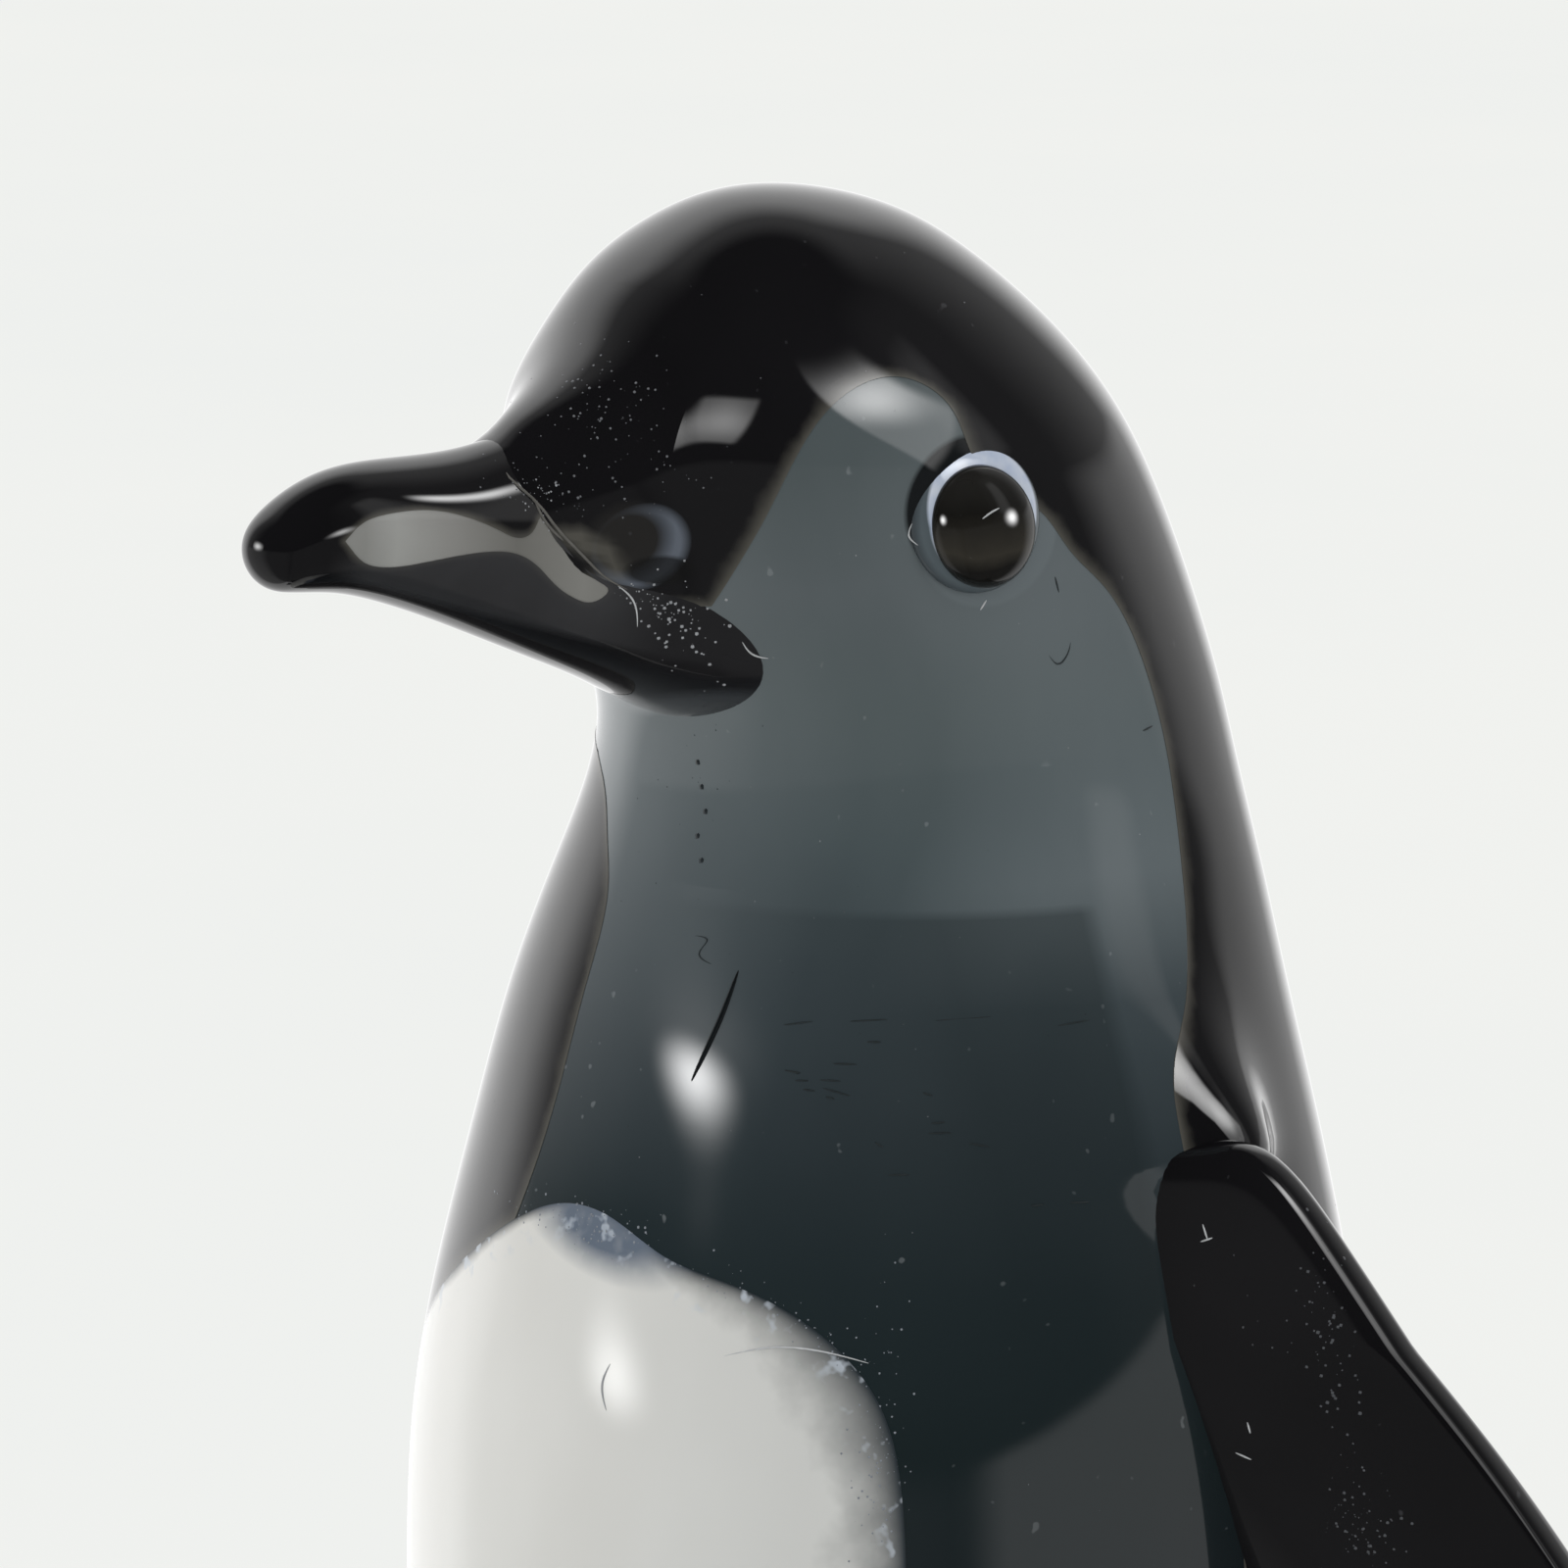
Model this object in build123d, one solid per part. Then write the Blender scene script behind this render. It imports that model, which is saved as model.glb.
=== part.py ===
"""Solid hot-worked glass penguin, standing upright on a ground flat.

Millimetres, +Z up. The origin is the middle of the ground flat. The bird faces -Y, so its left
side is +X. Colours lie flush in the surface, as they do in glass that was worked while hot.
"""
import math
import os

from build123d import *

# Body: greatest width and depth, and how thick the coloured overlays lie on the core.
BODY_HEIGHT = 175.4
BODY_WIDTH = 68.8
BODY_DEPTH = 66.6
OVERLAY_THICKNESS = 2.5
CUT_OVERRUN = 90.0
RING_POINTS = 16

# Level sections of the body, crown to ground and a little below it: shares of the height, of the
# half width and of the half depth, and how far back the middle lies as a share of the half depth.
BODY_SHARES = (
    (0.995, 0.160, 0.180, -0.339),
    (0.978, 0.326, 0.372, -0.318),
    (0.948, 0.462, 0.529, -0.288),
    (0.912, 0.564, 0.649, -0.246),
    (0.872, 0.596, 0.688, -0.162),
    (0.832, 0.599, 0.676, -0.057),
    (0.798, 0.605, 0.661, 0.021),
    (0.764, 0.645, 0.679, 0.039),
    (0.730, 0.706, 0.727, 0.024),
    (0.684, 0.779, 0.796, 0.000),
    (0.627, 0.858, 0.868, -0.009),
    (0.570, 0.930, 0.931, -0.018),
    (0.513, 0.980, 0.982, -0.021),
    (0.456, 1.000, 1.000, -0.018),
    (0.342, 0.988, 0.991, -0.009),
    (0.228, 0.942, 0.955, -0.003),
    (0.142, 0.884, 0.901, 0.000),
    (0.068, 0.794, 0.817, 0.000),
    (0.000, 0.674, 0.697, 0.000),
    (-0.034, 0.593, 0.613, 0.000),
)
CROWN_SECTIONS = 3
CROWN_MIDDLE_SHARE = -0.357

# Edge of the grey cheek in the side view, from the bill to the nape: shares of half depth, height.
CHEEK_SHARES = (
    (-0.739, 0.861),
    (-0.721, 0.884),
    (-0.667, 0.912),
    (-0.547, 0.933),
    (-0.432, 0.936),
    (-0.360, 0.925),
    (-0.336, 0.907),
    (-0.258, 0.892),
    (-0.168, 0.881),
    (-0.096, 0.866),
    (-0.003, 0.851),
)
# On the left the grey runs on down the side to the ground.
LEFT_FLANK_SHARES = (
    (0.117, 0.819),
    (0.162, 0.790),
    (0.138, 0.741),
    (0.051, 0.694),
    (-0.036, 0.673),
    (-0.069, 0.639),
    (-0.030, 0.570),
    (0.030, 0.342),
    (0.000, -0.114),
)
# On the right it turns forward again below the cheek.
CHEEK_RETURN_SHARES = (
    (0.036, 0.830),
    (-0.078, 0.807),
    (-0.315, 0.789),
    (-0.538, 0.775),
)
# Edge of the grey throat on the right, in the front view: shares of half width and height.
THROAT_SHARES = (
    (-0.323, 0.775),
    (-0.238, 0.764),
    (-0.172, 0.748),
    (-0.110, 0.730),
    (-0.090, 0.697),
    (-0.099, 0.659),
    (-0.140, 0.621),
    (-0.238, 0.570),
)
THROAT_TOP_SHARE = 0.787
GREY_LAP = 2.0

# Edge of the white belly in the front view, from foot to foot: shares of half width and height.
BELLY_SHARES = (
    (0.407, -0.114),
    (0.599, 0.068),
    (0.703, 0.205),
    (0.756, 0.354),
    (0.750, 0.479),
    (0.727, 0.523),
    (0.674, 0.555),
    (0.573, 0.578),
    (0.427, 0.593),
    (0.262, 0.602),
    (0.105, 0.613),
    (-0.023, 0.614),
    (-0.151, 0.605),
    (-0.387, 0.577),
    (-0.640, 0.535),
    (-0.738, 0.479),
    (-0.756, 0.354),
    (-0.703, 0.205),
    (-0.599, 0.068),
    (-0.407, -0.114),
)

# Bill: its length runs from a root inside the head to the tip, its height is that of the root.
BILL_LENGTH = 41.4
BILL_HEIGHT = 22.8
BILL_WIDTH = 29.2
BILL_OVERLAY = 0.9
BILL_ROOT_SHARE = -0.450
BILL_LINE_SHARE = 0.885
# Upright sections from root to tip: shares of the length, of the height for the top and for the
# underside from the line of the bill, and of the half width above and below.
BILL_SHARES = (
    (0.000, 0.254, -0.684, 0.452, 1.000),
    (0.133, 0.316, -0.667, 0.438, 0.945),
    (0.217, 0.316, -0.605, 0.411, 0.781),
    (0.314, 0.289, -0.522, 0.384, 0.575),
    (0.411, 0.254, -0.447, 0.356, 0.438),
    (0.575, 0.206, -0.325, 0.315, 0.329),
    (0.734, 0.202, -0.215, 0.288, 0.288),
    (0.845, 0.184, -0.162, 0.260, 0.260),
    (0.932, 0.136, -0.132, 0.212, 0.212),
    (0.981, 0.083, -0.088, 0.144, 0.144),
)
# Edge of the smoky window in the side view: shares of the length and of the height.
WINDOW_SHARES = (
    (0.855, 0.018),
    (0.783, 0.096),
    (0.652, 0.123),
    (0.531, 0.079),
    (0.435, -0.035),
    (0.348, -0.193),
    (0.372, -0.289),
    (0.483, -0.254),
    (0.628, -0.167),
    (0.773, -0.079),
)

# Eyes: a bead pressed on a ring, seated at shares of the half width, half depth and height.
EYE_BEAD_LENGTH = 7.6
EYE_BEAD_HEIGHT = 7.1
EYE_BEAD_THICKNESS = 4.4
EYE_BEAD_RISE = 1.0
EYE_BEAD_DROP = 0.4
EYE_RING_MARGIN = 1.3
EYE_RING_THICKNESS = 3.2
EYE_SEAT_SHARES = (0.561, -0.324, 0.882)
EYE_FORWARD_TURN = 11.0
EYE_UPWARD_TILT = 7.0

# Flippers: reach out from a root line in the side of the body, height from the shoulder down.
FLIPPER_REACH = 33.4
FLIPPER_HEIGHT = 64.0
FLIPPER_THICKNESS = 6.8
FLIPPER_ROOT_SHARE = 0.959
FLIPPER_SHOULDER_SHARE = 0.644
FLIPPER_BACK_TURN = 25.0
FLIPPER_LEAN_START_SHARE = 0.203
FLIPPER_LEAN_SHARE = 0.22
# Upright sections: shares of the reach, of the height for top and underside, of the thickness.
FLIPPER_SHARES = (
    (-0.269, 0.006, 0.578, 0.824),
    (-0.090, 0.003, 0.617, 0.941),
    (0.078, 0.006, 0.694, 1.000),
    (0.228, 0.072, 0.787, 1.000),
    (0.389, 0.191, 0.872, 0.971),
    (0.569, 0.325, 0.944, 0.912),
    (0.749, 0.484, 0.991, 0.824),
    (0.880, 0.628, 0.984, 0.706),
    (0.964, 0.756, 0.947, 0.500),
)
FLIPPER_TIP_SHARE = 0.856
FLIPPER_SQUARE_SHARE = 0.75

# Feet: a pressed pad with three toes, placed at shares of the half width and half depth.
FOOT_WIDTH = 19.2
FOOT_LENGTH = 26.0
FOOT_THICKNESS = 8.0
TOE_WIDTH = 7.2
TOE_LENGTH = 16.0
TOE_THICKNESS = 5.0
TOE_REACH_SHARE = 0.81
TOE_TURNS = (-30.0, 0.0, 30.0)
FOOT_PLACE_SHARES = (0.392, -0.661)
FOOT_TURN = 12.0

# Tail: placed at shares of the half depth and of the height.
TAIL_WIDTH = 20.0
TAIL_LENGTH = 32.0
TAIL_THICKNESS = 10.8
TAIL_PLACE_SHARES = (0.781, 0.051)
TAIL_DROOP = 18.0


def rounded(share, square_share):
    """Sine or cosine share drawn out, so that an oval becomes more square."""
    return math.copysign(abs(share) ** square_share, share)


def closed_curve(points):
    """Smooth closed wire through points that are spread evenly around it."""
    count = len(points)
    turns = [step / count for step in range(count + 1)]
    return Wire([Edge.make_spline(points, periodic=True, parameters=turns)])


def ring_turns():
    """Turns, in radians, of the points of one section."""
    return [math.tau * step / RING_POINTS for step in range(RING_POINTS)]


def side_points(shares):
    """Points in the side view from shares of the half depth and of the height."""
    return [(depth * BODY_DEPTH / 2, height * BODY_HEIGHT) for depth, height in shares]


def front_points(shares):
    """Points in the front view from shares of the half width and of the height."""
    return [(side * BODY_WIDTH / 2, height * BODY_HEIGHT) for side, height in shares]


def body_ring(shares, inset, drop):
    """Level oval section of the body, taken in by the inset and lowered by the drop."""
    height, width, depth, middle = shares
    half_width = width * BODY_WIDTH / 2 - inset
    half_depth = depth * BODY_DEPTH / 2 - inset
    points = []
    for turn in ring_turns():
        side = -half_width * math.sin(turn)
        back = middle * BODY_DEPTH / 2 + half_depth * math.cos(turn)
        points.append(Vector(side, back, height * BODY_HEIGHT - drop))
    return closed_curve(points)


def body_form(inset):
    """Body with its skin taken in by the inset; it still runs on below the ground."""
    top = Vertex(0, CROWN_MIDDLE_SHARE * BODY_DEPTH / 2, BODY_HEIGHT - inset)
    rings = []
    for index, shares in enumerate(BODY_SHARES):
        drop = inset if index < CROWN_SECTIONS else 0
        rings.append(body_ring(shares, inset, drop))
    return Solid.make_loft([top] + rings)


def bill_place(length_share, height_share):
    """Depth and height of a point of the bill from shares of its length and height."""
    depth = BILL_ROOT_SHARE * BODY_DEPTH / 2 - length_share * BILL_LENGTH
    height = BILL_LINE_SHARE * BODY_HEIGHT + height_share * BILL_HEIGHT
    return depth, height


def bill_ring(shares, inset):
    """Upright section of the bill, an oval that is wider below than above near the root."""
    along, top_share, underside_share, upper_share, lower_share = shares
    depth, top = bill_place(along, top_share)
    underside = bill_place(along, underside_share)[1]
    middle = (top + underside) / 2
    half_height = (top - underside) / 2 - inset
    points = []
    for turn in ring_turns():
        low_share = (1 - math.cos(turn)) / 2
        width_share = upper_share + (lower_share - upper_share) * low_share
        half_width = width_share * BILL_WIDTH / 2 - inset
        height = middle + half_height * math.cos(turn)
        points.append(Vector(half_width * math.sin(turn), depth + inset, height))
    return closed_curve(points)


def bill_form(inset):
    """Bill with its root inside the head, its skin taken in by the inset."""
    depth, height = bill_place(1, 0)
    rings = [bill_ring(shares, inset) for shares in BILL_SHARES]
    return Solid.make_loft(rings + [Vertex(0, depth + inset, height)])


def flipper_point(out, off, height):
    """Point of the left flipper, by its reach out, its offset across and its height."""
    shoulder = FLIPPER_SHOULDER_SHARE * BODY_HEIGHT
    lean_start = shoulder - FLIPPER_LEAN_START_SHARE * FLIPPER_HEIGHT
    lean = FLIPPER_LEAN_SHARE * max(lean_start - height, 0)
    along = Vector(1, 0, 0).rotate(Axis.Z, FLIPPER_BACK_TURN)
    across = along.rotate(Axis.Z, 90)
    root = Vector(FLIPPER_ROOT_SHARE * BODY_WIDTH / 2, lean, height)
    return root + along * out + across * off


def flipper_ring(shares):
    """Upright rounded section of the left flipper."""
    reach_share, top_share, underside_share, thickness_share = shares
    shoulder = FLIPPER_SHOULDER_SHARE * BODY_HEIGHT
    middle = shoulder - (top_share + underside_share) / 2 * FLIPPER_HEIGHT
    half_height = (underside_share - top_share) / 2 * FLIPPER_HEIGHT
    half_thickness = thickness_share * FLIPPER_THICKNESS / 2
    points = []
    for turn in ring_turns():
        height = middle - half_height * rounded(math.cos(turn), FLIPPER_SQUARE_SHARE)
        off = half_thickness * rounded(math.sin(turn), FLIPPER_SQUARE_SHARE)
        points.append(flipper_point(reach_share * FLIPPER_REACH, off, height))
    return closed_curve(points)


def above_ground(solid):
    """Solid with everything below the ground flat taken away."""
    waste = Box(CUT_OVERRUN * 2, CUT_OVERRUN * 2, CUT_OVERRUN)
    return solid - Pos(0, 0, -CUT_OVERRUN / 2) * waste


def side_region(shares):
    """Outline, in the side view, of everything in front of an edge."""
    edge = side_points(shares)
    start = edge[0]
    end = edge[-1]
    front = -CUT_OVERRUN
    lines = Spline(*edge) + Polyline(end, (front, end[1]), (front, start[1]), start)
    return Plane.YZ * make_face(lines)


def flank_region():
    """Grey part of the left side, from the cheek down to the ground."""
    return extrude(side_region(CHEEK_SHARES + LEFT_FLANK_SHARES), amount=CUT_OVERRUN)


def cheek_region():
    """Grey part of the right cheek, lapping a little over the middle."""
    outline = side_region(CHEEK_SHARES + CHEEK_RETURN_SHARES)
    return extrude(Pos(GREY_LAP, 0, 0) * outline, amount=-CUT_OVERRUN)


def throat_region():
    """Grey part of the throat right of the middle, lapping a little over the middle."""
    edge = front_points(THROAT_SHARES)
    start = edge[0]
    end = edge[-1]
    top = THROAT_TOP_SHARE * BODY_HEIGHT
    lines = Spline(*edge)
    lines += Polyline(end, (GREY_LAP, end[1]), (GREY_LAP, top), (start[0], top), start)
    return extrude(Plane.XZ * make_face(lines), amount=CUT_OVERRUN)


def belly_region():
    """Everything in front of the bird inside the edge of the white belly."""
    edge = front_points(BELLY_SHARES)
    lines = Spline(*edge) + Line(edge[-1], edge[0])
    return extrude(Plane.XZ * make_face(lines), amount=CUT_OVERRUN)


def window_region():
    """Everything beside the smoky window of the bill, through both of its sides."""
    edge = Spline(*[bill_place(*shares) for shares in WINDOW_SHARES], periodic=True)
    outline = Plane.YZ * make_face(edge)
    return extrude(outline, amount=CUT_OVERRUN, both=True)


def pressed_bit(width, length, height):
    """Rounded bit of glass with the given full sizes."""
    return scale(Sphere(1), by=(width / 2, length / 2, height / 2))


def eye_bit(height, length, thickness, rise, drop):
    """Bit pressed on the left cheek, standing out by the rise and lowered by the drop."""
    side_share, depth_share, height_share = EYE_SEAT_SHARES
    seat = Pos(side_share * BODY_WIDTH / 2, depth_share * BODY_DEPTH / 2, height_share * BODY_HEIGHT)
    outward = Rot(0, 0, -EYE_FORWARD_TURN) * Rot(0, 90 - EYE_UPWARD_TILT, 0)
    return seat * outward * Pos(drop, 0, rise) * pressed_bit(height, length, thickness)


def make_eye_bead():
    """Black bead of the left eye."""
    sizes = (EYE_BEAD_HEIGHT, EYE_BEAD_LENGTH, EYE_BEAD_THICKNESS)
    return eye_bit(*sizes, EYE_BEAD_RISE, EYE_BEAD_DROP)


def make_eye_ring(bead):
    """Milky ring of the left eye, with the seat of its bead."""
    height = EYE_BEAD_HEIGHT + EYE_RING_MARGIN * 2
    length = EYE_BEAD_LENGTH + EYE_RING_MARGIN * 2
    return eye_bit(height, length, EYE_RING_THICKNESS, 0, 0) - bead


def make_flipper(body):
    """Left flipper, fused along its root to the side of the body."""
    rings = [flipper_ring(shares) for shares in FLIPPER_SHARES]
    tip_height = FLIPPER_SHOULDER_SHARE * BODY_HEIGHT - FLIPPER_TIP_SHARE * FLIPPER_HEIGHT
    tip = flipper_point(FLIPPER_REACH, 0, tip_height)
    return Solid.make_loft(rings + [Vertex(tip.X, tip.Y, tip.Z)]) - body


def make_foot(body):
    """Left foot: a pressed pad with three toes, fused to the front of the body."""
    foot = pressed_bit(FOOT_WIDTH, FOOT_LENGTH, FOOT_THICKNESS * 2)
    toe = pressed_bit(TOE_WIDTH, TOE_LENGTH, TOE_THICKNESS * 2)
    for turn in TOE_TURNS:
        foot += Rot(0, 0, turn) * Pos(0, -TOE_REACH_SHARE * FOOT_LENGTH / 2, 0) * toe
    side_share, depth_share = FOOT_PLACE_SHARES
    place = Pos(side_share * BODY_WIDTH / 2, depth_share * BODY_DEPTH / 2, 0)
    return above_ground(place * Rot(0, 0, FOOT_TURN) * foot) - body


def make_tail(body):
    """Short tail, drawn out of the back just above the ground."""
    depth_share, height_share = TAIL_PLACE_SHARES
    place = Pos(0, depth_share * BODY_DEPTH / 2, height_share * BODY_HEIGHT)
    drawn = pressed_bit(TAIL_WIDTH, TAIL_LENGTH, TAIL_THICKNESS)
    return above_ground(place * Rot(-TAIL_DROOP, 0, 0) * drawn) - body


def mirrored(left):
    """Right-hand copy of a left-hand piece."""
    return mirror(left, about=Plane.YZ)


def make_pieces():
    """All pieces by name."""
    body = above_ground(body_form(0))
    skin = body - body_form(OVERLAY_THICKNESS)
    bead = make_eye_bead()
    ring = make_eye_ring(bead)
    eyes = bead + ring
    eyes += mirrored(eyes)

    belly = skin & belly_region()
    mantle = skin - belly - flank_region() - cheek_region() - throat_region()
    core = body - belly - mantle

    bill = bill_form(0) - body
    bill_overlay = bill - bill_form(BILL_OVERLAY) - window_region()

    pieces = {
        "body_core": core - eyes,
        "back_mantle": mantle - eyes,
        "belly_patch": belly,
        "bill_core": bill - bill_overlay,
        "bill_overlay": bill_overlay,
        "eye_bead_left": bead,
        "eye_ring_left": ring,
        "flipper_left": make_flipper(body),
        "foot_left": make_foot(body),
        "tail": make_tail(body),
    }
    for name in ("eye_bead", "eye_ring", "flipper", "foot"):
        pieces[name + "_right"] = mirrored(pieces[name + "_left"])
    return pieces


os.makedirs("parts", exist_ok=True)
for name, piece in make_pieces().items():
    export_step(piece, "parts/" + name + ".step")
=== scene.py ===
"""Looks of a solid hot-worked glass penguin: skins, bill, eyes, flippers, feet, tail and studio."""

import logging
import math
import random
from collections.abc import Callable, Sequence
from dataclasses import dataclass
from enum import Enum
from functools import cached_property

import bmesh
import bpy
import numpy as np
from mathutils import Matrix, Vector
from mathutils.bvhtree import BVHTree
from mathutils.kdtree import KDTree


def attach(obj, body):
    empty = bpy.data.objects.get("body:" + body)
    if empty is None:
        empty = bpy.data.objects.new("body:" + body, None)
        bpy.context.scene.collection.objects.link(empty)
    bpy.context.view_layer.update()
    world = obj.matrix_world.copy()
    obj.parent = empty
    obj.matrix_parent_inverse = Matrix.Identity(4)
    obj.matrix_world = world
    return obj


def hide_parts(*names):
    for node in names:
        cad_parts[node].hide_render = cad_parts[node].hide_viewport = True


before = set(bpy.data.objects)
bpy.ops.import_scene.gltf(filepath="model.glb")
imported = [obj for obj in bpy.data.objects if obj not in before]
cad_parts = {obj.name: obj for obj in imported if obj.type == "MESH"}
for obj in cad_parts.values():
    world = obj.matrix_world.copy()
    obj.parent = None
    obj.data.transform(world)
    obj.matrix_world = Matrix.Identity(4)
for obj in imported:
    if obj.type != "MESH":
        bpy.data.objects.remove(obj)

LOG = logging.getLogger("glass_penguin")
MM = 0.001
ROOT_BODY = "root"
# Attribute that holds each point's gap to the edge of its skin, in millimetres, and its most.
EDGE_GAP = "edge_gap"
FARTHEST_GAP = 20.0
# A face is skin where its corners lie this near the form, in millimetres, and face its way.
SKIN_GAP = 0.12
SKIN_FACING = 0.6
# Spacing in millimetres of the points along an edge that gaps are measured to.
EDGE_SPACING = 0.15
# Nearness of an edge to a joint, as the sum of its two ends, and a joint that is nowhere.
JOINT_GAP = 0.04
NO_JOINT = 1e3
# Shares next to each pole of a form at which directions are still sound: to light a piece by,
# and to swell a mesh by.
POLE_SHARE = 2e-4
SWELL_SHARE = 1e-3
# Spacing in millimetres of the points of a cutter's outline.
OUTLINE_SPACING = 0.5
# A bill or flipper runs over the first share of its way and is drawn shut over the rest.
OPEN_SHARE = 0.98
SHUT_SHARE = 0.02
# Keeps a root or a division from nought.
TINY = 1e-9

Colour = tuple[float, float, float]
Place = tuple[float, float, float]
Pieces = dict[str, bpy.types.Object]


class Slot(Enum):
    """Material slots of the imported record."""

    SLATE = "slate_glass"
    BLACK = "black_glass"
    OPAL = "opal_glass"
    SMOKY = "smoky_glass"
    MILKY = "milky_glass"


class Side(Enum):
    """Side of the bird, as the sign of X."""

    LEFT = 1
    RIGHT = -1


def from_srgb(red: float, green: float, blue: float) -> Colour:
    """Linear colour from display values of 0 to 255."""

    def linear(value: float) -> float:
        """Linear light of one display value."""
        share = value / 255
        return share / 12.92 if share <= 0.04045 else ((share + 0.055) / 1.055) ** 2.4

    return linear(red), linear(green), linear(blue)


def smooth_step(value: np.ndarray) -> np.ndarray:
    """Smooth rise from nought to one over the same range."""
    share = np.clip(value, 0, 1)
    return share * share * (3 - 2 * share)


class SmoothTable:
    """Natural cubic spline through a table of measured values."""

    def __init__(self, places: Sequence[float], values: Sequence[Sequence[float]]) -> None:
        """Fits the spline.

        Args:
            places: Rising places of the rows.
            values: One row of values for each place.
        """
        self.places = np.asarray(places, float)
        self.values = np.asarray(values, float)
        self.bends = self._fit()

    def _fit(self) -> np.ndarray:
        """Solves for a curve that runs smoothly through the rows.

        Returns:
            Second derivatives at the rows, nought at both ends.
        """
        steps = np.diff(self.places)
        count = len(self.places)
        system = np.eye(count)
        right = np.zeros_like(self.values)
        slopes = np.diff(self.values, axis=0) / steps[:, None]
        for row in range(1, count - 1):
            system[row, row - 1 : row + 2] = (
                steps[row - 1],
                2 * (steps[row - 1] + steps[row]),
                steps[row],
            )
            right[row] = 6 * (slopes[row] - slopes[row - 1])
        return np.linalg.solve(system, right)

    def at(self, place: np.ndarray) -> np.ndarray:
        """Values at any places.

        Args:
            place: Places along the table.

        Returns:
            Array with the values on its last axis.
        """
        place = np.clip(np.asarray(place, float), self.places[0], self.places[-1])
        row = np.clip(np.searchsorted(self.places, place) - 1, 0, len(self.places) - 2)
        low, high = self.places[row], self.places[row + 1]
        step = (high - low)[..., None]
        after = ((place - low) / (high - low))[..., None]
        before = 1 - after
        bent = (before**3 - before) * self.bends[row] + (after**3 - after) * self.bends[row + 1]
        return before * self.values[row] + after * self.values[row + 1] + bent * step**2 / 6


def smooth_line(points: Sequence[Sequence[float]], spacing: float) -> np.ndarray:
    """Smooth curve through points.

    Args:
        points: Points in two or three dimensions.
        spacing: Distance between the points that come back.

    Returns:
        Evenly spread points of the curve.
    """
    rows = np.asarray(points, float)
    along = np.concatenate([[0], np.cumsum(np.linalg.norm(np.diff(rows, axis=0), axis=1))])
    curve = SmoothTable(along, rows)
    return curve.at(np.linspace(0, along[-1], max(2, round(along[-1] / spacing) + 1)))


# --------------------------------------------------------------------------------------------
# Forms
# --------------------------------------------------------------------------------------------


class Form:
    """A smooth closed glass form, laid out by a turn round it and a share along it."""

    OUTWARD = 1.0

    def place(self, turn: np.ndarray, share: np.ndarray) -> np.ndarray:
        """Points of the form in millimetres."""
        raise NotImplementedError

    def find(self, points: np.ndarray) -> tuple[np.ndarray, np.ndarray]:
        """Turn and share of points that lie on or near the form."""
        raise NotImplementedError

    def normals(self, turn: np.ndarray, share: np.ndarray, step: float = 1e-4) -> np.ndarray:
        """Outward directions of the form, from the way that it runs.

        Args:
            turn: Turns round the form.
            share: Shares of its length.
            step: How far apart the points are that are compared.

        Returns:
            One direction of length one for each point.
        """
        low = np.clip(share - step, 0, 1)
        high = np.clip(share + step, 0, 1)
        along = self.place(turn, high) - self.place(turn, low)
        across = self.place(turn + step, share) - self.place(turn - step, share)
        normal = np.cross(across, along) * self.OUTWARD
        length = np.linalg.norm(normal, axis=-1, keepdims=True)
        return normal / np.maximum(length, 1e-12)

    def ball(self, around: int, levels: int, swell: float = 0.0) -> bmesh.types.BMesh:
        """Closed mesh of the form.

        Args:
            around: Points round the form.
            levels: Steps along it.
            swell: How far the mesh stands off the form, in millimetres.

        Returns:
            The mesh, in metres.
        """
        bm = bmesh.new()
        bmesh.ops.create_uvsphere(bm, u_segments=around, v_segments=levels, radius=1.0)
        unit = np.array([vert.co[:] for vert in bm.verts])
        share = np.round(np.arccos(np.clip(unit[:, 2], -1, 1)) / math.pi * levels) / levels
        turn = np.arctan2(unit[:, 0], -unit[:, 1])
        points = self.place(turn, share)
        if swell:
            inner = np.clip(share, SWELL_SHARE, 1 - SWELL_SHARE)
            points = points + swell * self.normals(turn, inner)
        for vert, point in zip(bm.verts, points * MM, strict=True):
            vert.co = point
        bmesh.ops.recalc_face_normals(bm, faces=bm.faces)
        if bm.calc_volume(signed=True) < 0:
            bmesh.ops.reverse_faces(bm, faces=bm.faces)
        return bm


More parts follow.
